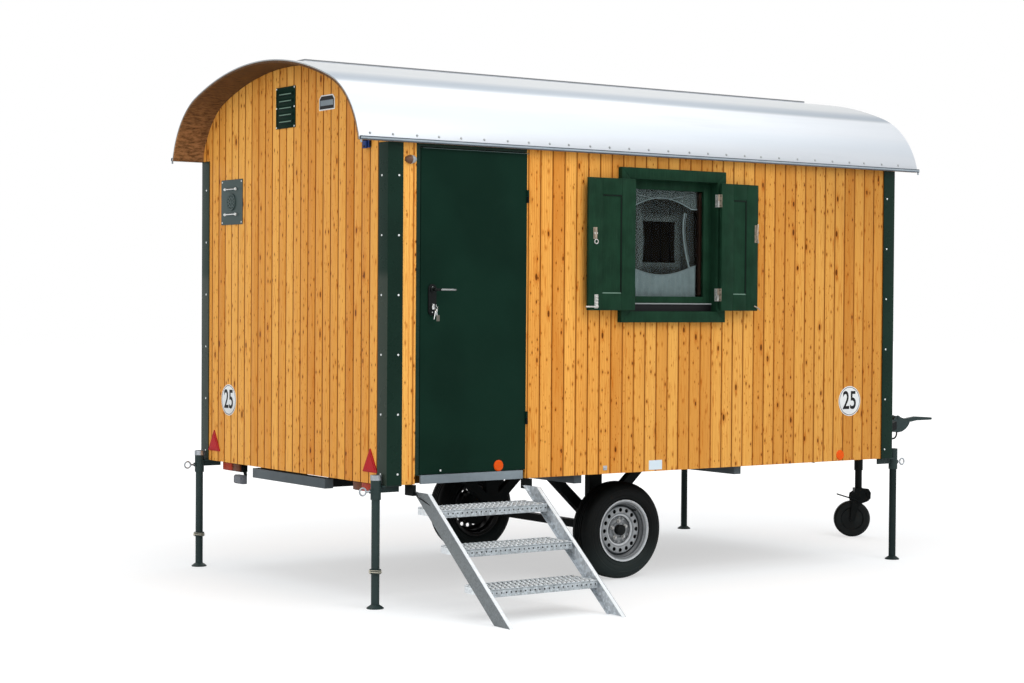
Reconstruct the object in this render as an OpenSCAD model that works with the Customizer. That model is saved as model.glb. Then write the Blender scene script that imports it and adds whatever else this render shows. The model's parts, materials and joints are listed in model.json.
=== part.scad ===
// Site trailer: a boarded timber cabin with a barrel roof on a single-axle chassis.
// X runs from the rear wall to the tow coupling, Y from the door side to the far side, Z up.

/* [Cabin] */
// Length of the cabin over its end walls
body_l = 4040; // [3400:10:6000]
// Width of the cabin over its side walls
body_w = 2300; // [2000:10:2500]
// Height of the underside of the cabin above the ground
body_z = 700; // [660:5:800]
// Height of the eaves above the ground
eave_z = 2650; // [2620:5:3000]
// Thickness of the walls
wall_t = 50; // [40:1:80]
// Thickness of the floor
floor_t = 50; // [30:1:80]
// Width of each leg of the corner trims
trim_w = 96; // [60:1:120]
// Thickness of the corner trims
trim_t = 6; // [2:0.5:10]

/* [Roof] */
// Overhang of the roof past the rear wall
rear_overhang = 210; // [100:5:300]
// Overhang of the roof past the front wall
front_overhang = 200; // [100:5:300]
// Reach of the roof past each side wall at the springing of its arch
arch_out = 40; // [30:1:60]
// Depth of the springing of the arch below the eaves
spring_drop = 108; // [60:1:160]
// Radius of the tight shoulders of the arch
shoulder_r = 531; // [400:1:600]
// Rise of the arch from its springing to its crown
arch_rise = 652; // [600:1:760]
// Thickness of the roof boards
board_t = 18; // [12:1:30]
// Thickness of the roof sheet
sheet_t = 2; // [1:0.5:4]
// Height of the eaves bars
eave_bar_h = 21; // [12:1:40]
// Thickness of the eaves bars
eave_bar_t = 18; // [10:1:30]
// Width of the ridge strip
ridge_w = 200; // [120:5:300]
// Height of the ridge strip above the crown of the roof
ridge_h = 22; // [10:1:40]

/* [Door] */
// Distance from the rear wall to the doorway
door_x = 190; // [150:5:600]
// Width of the doorway in the wall
door_w = 776; // [700:2:900]
// Height of the top of the door leaf below the eaves
door_head = 23; // [15:1:60]
// Width of the jamb and the head of the door frame
door_frame_w = 24; // [18:1:60]
// Thickness of the door leaf
door_t = 40; // [30:1:60]
// Gap round the door leaf
door_gap = 6; // [5:0.5:10]
// Height of the door lever above the ground
lever_z = 1815; // [1500:5:1900]
// Length of the door lever
lever_l = 138; // [100:1:160]

/* [Window] */
// Distance from the rear wall to the window opening
window_x = 1722; // [1600:5:2400]
// Width of the window opening
window_w = 712; // [600:2:900]
// Height of the bottom of the window opening above the ground
window_z = 1692; // [1300:2:1750]
// Height of the window opening
window_h = 820; // [600:2:900]
// Width of the boards of the window casing
casing_w = 66; // [50:1:100]
// Thickness of the window casing
casing_t = 35; // [20:1:45]
// Width of the members of the window sash
sash_w = 60; // [40:1:80]
// Thickness of the shutters
shutter_t = 22; // [18:1:27]
// Width of the left shutter
left_shutter_w = 351; // [340:1:355]
// Width of the right shutter
right_shutter_w = 321; // [300:1:325]
// Width of the stiles and rails of the shutters
shutter_stile = 102; // [60:1:120]
// Depth of the panel recessed in each shutter
shutter_recess = 8; // [3:1:12]
// Angle by which the folded shutters lean back to the wall
shutter_lean = 2.5; // [0:0.5:4]

/* [Chassis] */
// Height of the chassis members
rail_h = 64; // [50:1:100]
// Width of the chassis members
rail_w = 60; // [40:1:80]
// Distance between the outer faces of the two long rails
rail_span = 904; // [800:2:1200]
// Distance from the rear wall to the axle
axle_x = 1920; // [1500:10:3000]
// Side of the square axle beam
axle_side = 50; // [40:1:70]
// Distance from the front wall to the rear of the coupling
drawbar_l = 1120; // [800:10:1600]
// Height of the tow ball centre above the ground
ball_z = 790; // [760:5:860]

/* [Wheels] */
// Outer diameter of the tyres
tyre_d = 615; // [560:5:700]
// Width of the tyres
tyre_w = 185; // [155:5:205]
// Diameter of the rims over their flanges
flange_d = 390; // [360:5:420]
// Distance from each side wall to the outer face of its tyre
tyre_inset = 235; // [150:5:260]
// Number of vent holes in each wheel disc
vent_count = 16; // [12:1:18]

/* [Supports] */
// Outer diameter of the corner legs
leg_d = 48; // [40:1:60]
// Distance from the rear wall to the axes of the rear legs
leg_out = 44; // [42:1:70]
// Extra distance from the front wall to the axes of the front legs
front_leg_shift = 26; // [0:1:30]
// Distance from the side walls to the axes of the corner legs
leg_in = 48; // [40:1:80]
// Diameter of the feet of the corner legs
foot_d = 98; // [80:2:140]
// Outer diameter of the jockey wheel
jockey_d = 270; // [200:5:300]
// Angle by which the jockey wheel is turned from straight ahead
jockey_turn = -35.4; // [-60:0.1:60]

/* [Steps] */
// Slope of the step stringers
step_slope = 39; // [35:1:50]
// Reach of the stringers from the wall at the ground
step_reach = 975; // [940:5:1100]
// Width of the steps over their stringers
step_w = 795; // [700:5:795]
// Height of each tread above the next
step_rise = 195; // [180:1:200]
// Depth of the treads from front to back
tread_d = 240; // [180:5:250]
// Height of the folded edges of the treads
tread_h = 46; // [30:1:50]
// Depth of the channel of the stringers
stringer_h = 90; // [60:1:100]

/* [Hidden] */
$fn = 64;
// Clearance at which pieces of different moving bodies lie on each other
seat = 0.3;
// Overlap used only to cut cleanly through a face
cut = 1;

// Roof arch: crown and shoulder arcs meet on the lines through their centres
crown_y = body_w / 2;
arch_half = body_w / 2 + arch_out;
spring_z = eave_z - spring_drop;
shoulder_y = arch_half - shoulder_r;
crown_r = (shoulder_y * shoulder_y + arch_rise * arch_rise - shoulder_r * shoulder_r)
  / (2 * (arch_rise - shoulder_r));
crown_z = spring_z + arch_rise - crown_r;
apex_z = spring_z + arch_rise;
arch_angle = atan2(shoulder_y, spring_z - crown_z);
eave_half = shoulder_y + sqrt(shoulder_r * shoulder_r - spring_drop * spring_drop);
roof_l = rear_overhang + body_l + front_overhang;
wall_inset = sheet_t + board_t + seat;

// Doorway and door
floor_top = body_z + floor_t;
leaf_x = door_x + door_frame_w + door_gap / 2;
leaf_w = door_w - door_frame_w - door_gap;
leaf_z = floor_top + 4;
leaf_top = eave_z - door_head;
leaf_proud = 4;
hinge_r = 7;
door_axis_x = leaf_x + leaf_w + door_gap / 2;
door_axis_y = -leaf_proud - hinge_r - 1;
door_hinge_h = 76;
door_hinge_z = [1060, 2372];
lever_x = leaf_x + 77;
plate_w = 54;
plate_t = 8;

// Window and shutters
glass_t = 4;
sash_t = 22;
sash_y = 34;
liner_t = 3;
shutter_gap = 8;
shutter_axis_y = -casing_t - 13;
left_axis_x = window_x + 18;
right_axis_x = window_x + window_w - liner_t - 4;
shutter_edge = 4;
shutter_back = 5;
shutter_hinge_r = 5;
shutter_leaf_h = window_h - 2 * shutter_gap;
shutter_hinge_h = 80;
shutter_hinge_z = [window_z + 108, window_z + window_h - 117];

// Chassis
rail_y = crown_y - rail_span / 2;
chassis_front = body_l - 50;
wheel_r = tyre_d / 2;
stand_y = 570;
coupling_x = body_l + drawbar_l;
ball_r = 25;
ball_x = coupling_x + 205;
grip_x = coupling_x + 114;
grip_z = ball_z + 94;
sleeve_top = body_z + 60;
sleeve_bottom = body_z - 80;
sleeve_r = leg_d / 2 + 6;
clamp_z = body_z - 32;
jockey_x = body_l + 846;
jockey_trail = 47;
jockey_tube_d = 52;
jockey_sleeve_d = 64;
jockey_sleeve_z = 500;
jockey_sleeve_l = 480;
jockey_tube_z = 366;
beam_front_y = 60;

// Steps
step_x = door_x - 22;
channel_w = 42;
channel_t = 4;
tread_t = 2.5;

// Overall box, which puts the origin on the ground below its centre
grip_tip = coupling_x + 495;
rear_x = -(grip_tip - rear_overhang) / 2;
near_y = (step_reach - crown_y - eave_half - eave_bar_t) / 2;

// Moves a piece from the rear corner of the door side to the origin
module placed() {
  translate([rear_x, near_y, 0]) children();
}

// Extrudes a profile drawn in Y and Z along X
module along_x(from, length) {
  translate([from, 0, 0]) rotate([90, 0, 90]) linear_extrude(length) children();
}

// Extrudes a profile drawn in X and Z towards -Y from the plane at the given Y
module towards_y(back, depth) {
  translate([0, back, 0]) rotate([90, 0, 0]) linear_extrude(depth) children();
}

// Points along the roof arch from the far eave over the crown to the near eave, in Y and Z
function arch_points(inset) = [
  each arc_points([crown_y + shoulder_y, spring_z], shoulder_r - inset, eave_angle(inset), arch_angle, 14),
  each arc_points([crown_y, crown_z], crown_r - inset, arch_angle * 0.98, -arch_angle * 0.98, 28),
  each arc_points([crown_y - shoulder_y, spring_z], shoulder_r - inset, -arch_angle, -eave_angle(inset), 14)
];

// Points along an arc between two angles off the vertical
function arc_points(centre, radius, from, to, steps) = [
  for (step = [0:steps])
    let (angle = from + (to - from) * step / steps) centre + radius * [sin(angle), cos(angle)]
];

// Angle off the vertical at which a shoulder reaches the eaves
function eave_angle(inset) = acos(spring_drop / (shoulder_r - inset));

// Filled roof arch above the eaves, inset from the face of the roof sheet
module arch_fill(inset) {
  polygon(arch_points(inset));
}

// Band of the roof arch between two insets from the face of the roof sheet
module arch_band(outer, inner) {
  points = arch_points(inner);
  polygon([
    each arch_points(outer),
    for (index = [len(points) - 1:-1:0]) points[index]
  ]);
}

// Outline of the end walls
module end_outline() {
  translate([0, body_z]) square([body_w, eave_z - body_z]);
  intersection() {
    arch_fill(wall_inset);
    translate([0, eave_z - cut]) square([body_w, arch_rise]);
  }
}

module floor() {
  color("burlywood") placed()
    translate([wall_t, wall_t, body_z]) cube([body_l - 2 * wall_t, body_w - 2 * wall_t, floor_t]);
}

module rear_wall() {
  color("goldenrod") placed() along_x(0, wall_t) end_outline();
}

module front_wall() {
  color("goldenrod") placed() along_x(body_l - wall_t, wall_t) end_outline();
}

// Piece of a side wall between two distances from the rear wall
module side_wall(side_y, from, to, bottom) {
  along_x(from, to - from) intersection() {
    end_outline();
    translate([side_y, bottom]) square([wall_t, apex_z]);
  }
}

module far_wall() {
  color("goldenrod") placed() side_wall(body_w - wall_t, wall_t, body_l - wall_t, body_z);
}

module window_wall() {
  color("goldenrod") placed() difference() {
    side_wall(0, door_x + door_w, body_l - wall_t, body_z);
    translate([window_x, -cut, window_z]) cube([window_w, wall_t + 2 * cut, window_h]);
  }
}

module door_post_wall() {
  color("goldenrod") placed() side_wall(0, wall_t, door_x, body_z);
}

module door_head() {
  color("darkgreen") placed() side_wall(0, door_x, door_x + door_w, eave_z);
}

module roof_boards() {
  color("saddlebrown") placed() along_x(-rear_overhang, roof_l) arch_band(sheet_t, sheet_t + board_t);
}

module roof_sheet() {
  color("gainsboro") placed() along_x(-rear_overhang, roof_l) arch_band(0, sheet_t);
}

module ridge_strip() {
  color("silver") placed() along_x(50, body_l + front_overhang - 90) difference() {
    translate([crown_y - ridge_w / 2, apex_z - ridge_h]) square([ridge_w, 2 * ridge_h]);
    arch_fill(0);
  }
}

module eave_bars() {
  color("silver") placed() along_x(-rear_overhang, roof_l) {
    translate([crown_y - eave_half - eave_bar_t, eave_z]) square([eave_bar_t, eave_bar_h]);
    translate([crown_y + eave_half, eave_z]) square([eave_bar_t, eave_bar_h]);
  }
}

// Corner trim of the rear door-side corner, an angle that wraps both walls
module corner_trim() {
  difference() {
    translate([-trim_t, -trim_t, body_z]) cube([trim_w + trim_t, trim_w + trim_t, eave_z - body_z]);
    translate([0, 0, body_z - cut]) cube([trim_w + cut, trim_w + cut, eave_z - body_z + 2 * cut]);
  }
}

module corner_trims() {
  color("darkgreen") placed() {
    corner_trim();
    translate([body_l, 0, 0]) mirror([1, 0, 0]) corner_trim();
    translate([0, body_w, 0]) mirror([0, 1, 0]) corner_trim();
    translate([body_l, body_w, 0]) mirror([1, 0, 0]) mirror([0, 1, 0]) corner_trim();
  }
}

module door_frame() {
  color("darkgreen") placed() towards_y(wall_t, wall_t) difference() {
    translate([door_x, floor_top]) square([door_w, eave_z - floor_top]);
    translate([door_x + door_frame_w, floor_top - cut])
      square([door_w, leaf_top + door_gap - floor_top + cut]);
  }
}

module door_sill() {
  sill_proud = 12;
  color("slategray") placed() difference() {
    translate([door_x + 30, -sill_proud, body_z]) cube([door_w - 56, wall_t + sill_proud, floor_t]);
    translate([door_x, 0, body_z - cut]) cube([door_w, wall_t + cut, floor_t - 2]);
  }
}

// Upright barrel of a hinge
module hinge_barrel(x, y, from, length, radius) {
  translate([x, y, from]) cylinder(r = radius, h = length);
}

module door_hinges() {
  knuckle = door_hinge_h / 2;
  flap_t = 1.7;
  flap_l = 42;
  color("dimgray") placed() for (z = door_hinge_z) {
    hinge_barrel(door_axis_x, door_axis_y, z - knuckle, knuckle - seat, hinge_r);
    translate([door_x + door_w - flap_t, door_axis_y, z - knuckle])
      cube([flap_t, flap_l, knuckle - seat]);
  }
}

module door_leaf() {
  knuckle = door_hinge_h / 2;
  color("darkgreen") placed() {
    translate([leaf_x, -leaf_proud, leaf_z]) cube([leaf_w, door_t, leaf_top - leaf_z]);
    for (z = door_hinge_z) {
      hinge_barrel(door_axis_x, door_axis_y, z, knuckle, hinge_r);
      translate([door_axis_x - hinge_r, door_axis_y, z])
        cube([hinge_r, -leaf_proud - door_axis_y, knuckle]);
    }
  }
}

module lock_plate() {
  plate_h = 180;
  color("black") placed() translate([lever_x - plate_w / 2, -leaf_proud, lever_z - 148])
    towards_y(0, plate_t) union() {
      translate([0, plate_w / 2]) square([plate_w, plate_h - plate_w]);
      translate([plate_w / 2, plate_w / 2]) circle(plate_w / 2);
      translate([plate_w / 2, plate_h - plate_w / 2]) circle(plate_w / 2);
    }
}

module door_lever() {
  lever_r = 10;
  neck = 42;
  color("silver") placed() translate([lever_x, -leaf_proud - plate_t - seat, lever_z]) {
    rotate([90, 0, 0]) cylinder(r = lever_r, h = neck);
    translate([0, -neck, 0]) rotate([0, 90, 0]) cylinder(r = lever_r, h = lever_l);
    translate([0, -neck, 0]) sphere(lever_r);
  }
}

module door_reflector() {
  color("orange") placed() round_reflector(leaf_x + leaf_w - 195, -leaf_proud, body_z + 84);
}

// Outline of the window opening inside its liner
module lined_opening() {
  translate([window_x + liner_t, window_z + liner_t]) square([window_w - 2 * liner_t, window_h - 2 * liner_t]);
}

module window_casing() {
  color("darkgreen") placed() {
    towards_y(0, casing_t) difference() {
      translate([window_x - casing_w, window_z - casing_w])
        square([window_w + 2 * casing_w, window_h + 2 * casing_w]);
      lined_opening();
    }
    towards_y(sash_y, sash_y) difference() {
      translate([window_x, window_z]) square([window_w, window_h]);
      lined_opening();
    }
  }
}

module window_sash() {
  color("darkgreen") placed() towards_y(sash_y + sash_t, sash_t) difference() {
    translate([window_x, window_z]) square([window_w, window_h]);
    translate([window_x + sash_w, window_z + 1.6 * sash_w])
      square([window_w - 2 * sash_w, window_h - 2.6 * sash_w]);
  }
}

module window_glass() {
  color("lightblue", 0.4) placed() translate([window_x + sash_w, sash_y + sash_t / 2, window_z + 1.6 * sash_w])
    cube([window_w - 2 * sash_w, glass_t, window_h - 2.6 * sash_w]);
}

module shutter_hinges() {
  knuckle = shutter_hinge_h / 2 - seat;
  left_flap = 30;
  flap_t = 2;
  reveal_flap = 36;
  color("silver") placed() for (z = shutter_hinge_z) translate([0, 0, z - shutter_hinge_h / 2]) {
    hinge_barrel(left_axis_x, shutter_axis_y, 0, knuckle, shutter_hinge_r);
    translate([left_axis_x - left_flap, -casing_t - flap_t, 0]) cube([left_flap, flap_t, knuckle]);
    translate([left_axis_x - flap_t, shutter_axis_y, 0])
      cube([2 * flap_t, -shutter_axis_y - casing_t, knuckle]);
    hinge_barrel(right_axis_x, shutter_axis_y, 0, knuckle, shutter_hinge_r);
    translate([right_axis_x + shutter_edge - flap_t, shutter_axis_y, 0])
      cube([flap_t, reveal_flap, knuckle]);
    translate([right_axis_x + shutter_edge - flap_t, shutter_axis_y + 6, 0])
      cube([flap_t, reveal_flap - 6, shutter_hinge_h]);
  }
}

// Shutter folded flat to the left of its axis, with its panel facing -Y
module shutter_leaf(leaf_w) {
  bottom = window_z + shutter_gap;
  front = -shutter_t - shutter_back;
  flap_t = 2;
  rotate([0, 0, -shutter_lean]) {
    difference() {
      translate([-shutter_edge - leaf_w, front, bottom]) cube([leaf_w, shutter_t, shutter_leaf_h]);
      translate([-shutter_edge - leaf_w + shutter_stile, front - cut, bottom + shutter_stile])
        cube([leaf_w - 2 * shutter_stile, shutter_recess + cut, shutter_leaf_h - 2 * shutter_stile]);
    }
    for (z = shutter_hinge_z) {
      hinge_barrel(0, 0, z, shutter_hinge_h / 2, shutter_hinge_r);
      translate([-shutter_edge, front, z - shutter_hinge_h / 2])
        cube([flap_t, shutter_t - 1, shutter_hinge_h]);
      translate([-shutter_edge, front, z]) cube([flap_t, -front, shutter_hinge_h / 2]);
    }
  }
}

module left_shutter() {
  color("darkgreen") placed() translate([left_axis_x, shutter_axis_y, 0]) shutter_leaf(left_shutter_w);
}

module right_shutter() {
  color("darkgreen") placed() translate([right_axis_x, shutter_axis_y, 0]) mirror([1, 0, 0])
    shutter_leaf(right_shutter_w);
}

module vent_grille() {
  grille_w = 238;
  grille_h = 253;
  grille_t = 12;
  grille_y = crown_y - 81;
  grille_z = apex_z - 393;
  slot_h = 16;
  slot_in = 30;
  slot_pitch = 42;
  color("darkslategray") placed() along_x(-grille_t, grille_t) difference() {
    translate([grille_y, grille_z]) square([grille_w, grille_h]);
    for (row = [0:4]) translate([grille_y + slot_in, grille_z + slot_in + 4 + row * slot_pitch])
      square([grille_w - 2 * slot_in, slot_h]);
  }
}

module flue_plate() {
  plate_side = 288;
  plate_thick = 4;
  plate_y = crown_y + 595;
  plate_z = eave_z - 420;
  disc_d = 110;
  disc_h = 7;
  hole_d = 12;
  color("darkslategray") placed() {
    along_x(-plate_thick, plate_thick) translate([plate_y, plate_z]) square(plate_side);
    translate([-plate_thick, plate_y + plate_side / 2, plate_z + plate_side / 2]) rotate([0, -90, 0])
      difference() {
        cylinder(d = disc_d, h = disc_h);
        for (turn = [0:11]) rotate(turn * 30) translate([0.36 * disc_d, 0, 2])
          cylinder(d = hole_d, h = disc_h);
        for (turn = [0:5]) rotate(turn * 60) translate([0.18 * disc_d, 0, 2])
          cylinder(d = hole_d, h = disc_h);
      }
  }
}

module power_inlet() {
  inlet_t = 32;
  inlet_w = 80;
  inlet_h = 52;
  inlet_y = 185;
  color("royalblue") placed() translate([-inlet_t, inlet_y, eave_z - 28]) cube([inlet_t, inlet_w, inlet_h]);
}

module marker_lamp() {
  lamp_x = 147;
  lamp_t = 30;
  color("firebrick") placed() translate([lamp_x, 0, eave_z - 94]) rotate([90, 0, 0])
    cylinder(d1 = 50, d2 = 42, h = lamp_t);
}

// Round reflector with a sloping edge on a face that looks towards -Y
module round_reflector(x, y, z) {
  reflector_t = 8;
  translate([x, y, z]) rotate([90, 0, 0]) cylinder(d1 = 66, d2 = 56, h = reflector_t);
}

// Triangle with its base at the bottom, centred on Y
module triangle(base, height) {
  polygon([[-base / 2, 0], [base / 2, 0], [0, height]]);
}

module rear_reflectors() {
  base = 160;
  height = 138;
  reflector_t = 8;
  side_gap = trim_w + 82;
  color("crimson") placed() along_x(-reflector_t, reflector_t) for (y = [side_gap, body_w - side_gap])
    translate([y, body_z + 65]) triangle(base, height);
}

module wall_reflector() {
  color("orange") placed() round_reflector(body_l - 483, 0, body_z + 39);
}

module rear_lamps() {
  lamp_t = 60;
  lamp_w = 235;
  lamp_h = 57;
  lamp_x = 20;
  near_gap = 180;
  far_gap = 250;
  color("firebrick") placed() for (y = [near_gap, body_w - far_gap - lamp_w])
    translate([lamp_x, y, body_z - lamp_h]) cube([lamp_t, lamp_w, lamp_h]);
}

module reversing_lamp() {
  lamp_t = 46;
  lamp_w = 152;
  lamp_h = 57;
  lamp_x = 24;
  far_gap = 540;
  drop = 133;
  bracket_t = 6;
  bracket_w = 40;
  bracket_h = 80;
  color("lightgray") placed() {
    translate([lamp_x, body_w - far_gap, body_z - drop]) cube([lamp_t, lamp_w, lamp_h]);
    translate([lamp_x + lamp_t - 10, body_w - far_gap + 5, body_z - bracket_h])
      cube([bracket_t, bracket_w, bracket_h]);
  }
}

module chassis_rails() {
  color("dimgray") placed() for (y = [rail_y, body_w - rail_y - rail_w])
    translate([rail_w, y, body_z - rail_h]) cube([chassis_front - 2 * rail_w, rail_w, rail_h]);
}

module cross_members() {
  rear_h = rail_h - 4;
  rear_drop = 12;
  front_in = 110;
  member_h = rail_h - 8;
  member_in = 60;
  color("dimgray") placed() {
    translate([0, rail_y, body_z - rear_h - rear_drop]) cube([rail_w, rail_span, rear_h]);
    translate([chassis_front - rail_w, front_in, body_z - rail_h])
      cube([rail_w, body_w - 2 * front_in, rail_h]);
    for (x = [1375, 2670]) translate([x, 0, body_z - member_h]) {
      translate([0, member_in, 0]) cube([rail_w, rail_y - member_in, member_h]);
      translate([0, body_w - rail_y, 0]) cube([rail_w, rail_y - member_in, member_h]);
      translate([0, rail_y + rail_w, 0]) cube([rail_w, rail_span - 2 * rail_w, member_h]);
    }
  }
}

// Welded A-frame of two beams that rise from the front member to the coupling
module drawbar_beams() {
  beam_w = 50;
  beam_h = 60;
  start_z = body_z - 48;
  end_z = ball_z + 42;
  run = coupling_x + 40 - chassis_front;
  plate_thick = 15;
  jockey_plate_w = 320;
  nose_plate_w = 160;
  side_run = crown_y - rail_y - beam_w / 2 - beam_front_y;
  turn = atan2(side_run, run);
  climb = atan2(end_z - start_z, norm([run, side_run]));
  color("dimgray") placed() {
    intersection() {
      translate([chassis_front, 0, 0]) cube([run, body_w, 2 * body_z]);
      union() {
        for (side = [0, 1]) translate([0, side * body_w, 0]) mirror([0, side, 0])
          translate([chassis_front, rail_y + beam_w / 2, start_z]) rotate([0, -climb, turn])
            translate([-beam_w, -beam_w / 2, -beam_h / 2]) cube([2 * run, beam_w, beam_h]);
        translate([jockey_x - jockey_sleeve_d / 2 - plate_thick, crown_y - jockey_plate_w / 2, body_z + 44])
          cube([plate_thick, jockey_plate_w, 70]);
        translate([coupling_x - plate_thick, crown_y - nose_plate_w / 2, ball_z + 12])
          cube([plate_thick, nose_plate_w, 58]);
      }
    }
  }
}

module coupling_body() {
  head_w = 56;
  shell_r = 38;
  ear_t = 6;
  ear_y = 23;
  ear_r = 18;
  pin_r = 5;
  loop_r = 40;
  color("darkslategray") placed() {
    difference() {
      union() {
        towards_y(crown_y + head_w / 2, head_w) union() {
          polygon([
            [coupling_x, ball_z + 4], [coupling_x + 110, ball_z - 12], [ball_x, ball_z - 18],
            [ball_x, ball_z + 56], [coupling_x, ball_z + 56]
          ]);
          translate([ball_x, ball_z + 18]) circle(shell_r);
        }
        for (side = [-1, 1]) translate([0, side * ear_y, 0]) towards_y(crown_y + ear_t / 2, ear_t) union() {
          translate([grip_x - ear_r, ball_z + 50]) square([2 * ear_r, grip_z - ball_z - 50]);
          translate([grip_x, grip_z]) circle(ear_r);
        }
      }
      translate([ball_x, crown_y, ball_z]) sphere(ball_r);
      translate([ball_x, crown_y, ball_z - 60]) cylinder(r = ball_r, h = 60);
    }
    translate([grip_x, crown_y + ear_y + ear_t / 2, grip_z]) rotate([90, 0, 0])
      cylinder(r = pin_r, h = 2 * ear_y + ear_t);
    translate([coupling_x + 88, crown_y, ball_z - 26]) rotate([90, 0, 0])
      rotate_extrude() translate([loop_r, 0]) circle(4);
  }
}

module coupling_handle() {
  handle_w = 34;
  pivot_bore = 5.05;
  grip_l = grip_tip - grip_x;
  color("dimgray") placed() translate([grip_x, crown_y, grip_z]) difference() {
    union() {
      rotate([90, 0, 0]) cylinder(r = 14, h = handle_w, center = true);
      towards_y(handle_w / 2, handle_w) polygon([
        [-8, 11], [12, 12], [84, -12], [150, -4], [grip_l - 170, 3], [grip_l - 6, -8], [grip_l, -13],
        [grip_l, -21], [grip_l - 6, -26], [grip_l - 169, -27], [148, -36], [70, -25], [-6, -12]
      ]);
    }
    rotate([90, 0, 0]) cylinder(r = pivot_bore, h = 2 * handle_w, center = true);
  }
}

module axle_beam() {
  hub_back = tyre_inset + tyre_w + 20;
  spindle_r = 17.5;
  color("dimgray") placed() {
    translate([axle_x - axle_side / 2, hub_back, wheel_r - axle_side / 2])
      cube([axle_side, body_w - 2 * hub_back, axle_side]);
    for (y = [tyre_inset + 100, body_w - hub_back])
      translate([axle_x, y, wheel_r]) rotate([-90, 0, 0]) cylinder(r = spindle_r, h = hub_back - tyre_inset - 100);
  }
}

module axle_stands() {
  stand_t = 50;
  post = 50;
  strut = 46;
  spread = 400;
  foot_z = wheel_r + axle_side / 2;
  color("dimgray") placed() for (y = [stand_y + stand_t / 2, body_w - stand_y + stand_t / 2])
    towards_y(y, stand_t) union() {
      translate([axle_x - post, foot_z]) square([2 * post, body_z - foot_z]);
      for (side = [-1, 1]) polygon([
        [axle_x + side * (post - 5), foot_z], [axle_x + side * (spread + strut), body_z],
        [axle_x + side * (spread - strut), body_z], [axle_x + side * (post - 5), foot_z + 90]
      ]);
    }
}

// Repeats the rear door-side corner piece at the four corners
module at_corners() {
  for (side = [0, 1]) translate([0, side * body_w, 0]) mirror([0, side, 0]) {
    children();
    translate([body_l + front_leg_shift, 0, 0]) mirror([1, 0, 0]) children();
  }
}

module leg_sleeves() {
  bore_r = leg_d / 2 + 0.4;
  sleeve_l = sleeve_top - sleeve_bottom;
  nut = 24;
  web_t = 12;
  web_h = 42;
  flange_l = 124;
  flange_w = 90;
  flange_t = 8;
  color("darkslategray") placed() at_corners() difference() {
    union() {
      translate([-leg_out, leg_in, sleeve_bottom]) cylinder(r = sleeve_r, h = sleeve_l);
      translate([-leg_out - sleeve_r - 8, leg_in - nut / 2, clamp_z - nut / 2]) cube([sleeve_r, nut, nut]);
      translate([-leg_out, leg_in - web_t / 2, body_z - web_h]) cube([leg_out + 108, web_t, web_h]);
      translate([-leg_out + sleeve_r - 6, 8, body_z - flange_t]) cube([flange_l, flange_w, flange_t]);
    }
    translate([-leg_out, leg_in, sleeve_bottom - cut]) cylinder(r = bore_r, h = sleeve_l + 2 * cut);
  }
}

module leg_clamps() {
  screw_r = 6;
  screw_l = 28;
  ring_r = 21;
  ring_t = 5;
  color("silver") placed() at_corners()
    translate([-leg_out - sleeve_r - 8, leg_in, clamp_z]) {
      rotate([0, -90, 0]) cylinder(r = screw_r, h = screw_l);
      translate([1 - screw_l - ring_r, 0, 0]) rotate([90, 0, 0]) rotate_extrude() translate([ring_r, 0])
        circle(ring_t);
    }
}

// Corner leg with its conical foot, standing at the rear door-side corner
module leg_shape(collar) {
  foot_r = foot_d / 2;
  plate_h = 6;
  cone_h = 16;
  collar_z = 198;
  collar_h = 26;
  translate([-leg_out, leg_in, 0]) {
    cylinder(r = foot_r, h = plate_h);
    translate([0, 0, plate_h]) cylinder(r1 = foot_r, r2 = leg_d / 2 + 2, h = cone_h);
    cylinder(r = leg_d / 2, h = sleeve_top - 8);
    if (collar) translate([0, 0, collar_z]) cylinder(r = leg_d / 2 + 9, h = collar_h);
  }
}

module rear_near_leg() {
  color("darkslategray") placed() leg_shape(true);
}

module rear_far_leg() {
  color("darkslategray") placed() translate([0, body_w, 0]) mirror([0, 1, 0]) leg_shape(true);
}

module front_near_leg() {
  color("darkslategray") placed() translate([body_l + front_leg_shift, 0, 0]) mirror([1, 0, 0]) leg_shape(false);
}

module front_far_leg() {
  color("darkslategray") placed() translate([body_l + front_leg_shift, body_w, 0])
    mirror([1, 0, 0]) mirror([0, 1, 0]) leg_shape(false);
}

// Band of a stringer between two distances behind its front edge, seen from the side
module stringer_band(from, to) {
  top = body_z - 40;
  run = top / tan(step_slope);
  a = from / sin(step_slope) - step_reach;
  b = to / sin(step_slope) - step_reach;
  polygon([[a, 0], [b, 0], [b + run, top], [a + run, top]]);
}

module step_stringers() {
  color("lightgray") placed() {
    for (x = [step_x, step_x + step_w - channel_t]) along_x(x, channel_t) stringer_band(0, stringer_h);
    for (x = [step_x + channel_t, step_x + step_w - channel_w]) along_x(x, channel_w - channel_t) {
      stringer_band(0, channel_t);
      stringer_band(stringer_h - channel_t, stringer_h);
    }
  }
}

module step_treads() {
  inner_w = step_w - 2 * channel_w;
  first_z = 184;
  color("lightgray") placed() for (row = [0:2]) {
    top = first_z + row * step_rise;
    translate([step_x + channel_w, top / tan(step_slope) - step_reach, top - tread_h]) difference() {
      cube([inner_w, tread_d, tread_h]);
      translate([tread_t, tread_t, -cut])
        cube([inner_w - 2 * tread_t, tread_d - 2 * tread_t, tread_h - tread_t + cut]);
    }
  }
}

module step_hooks() {
  hook_w = 22;
  hook_h = 62;
  hook_out = 45;
  hook_d = 85;
  color("black") placed() for (x = [step_x - hook_w, step_x + step_w])
    translate([x, -hook_out, body_z - hook_h]) cube([hook_w, hook_d, hook_h]);
}

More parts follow.
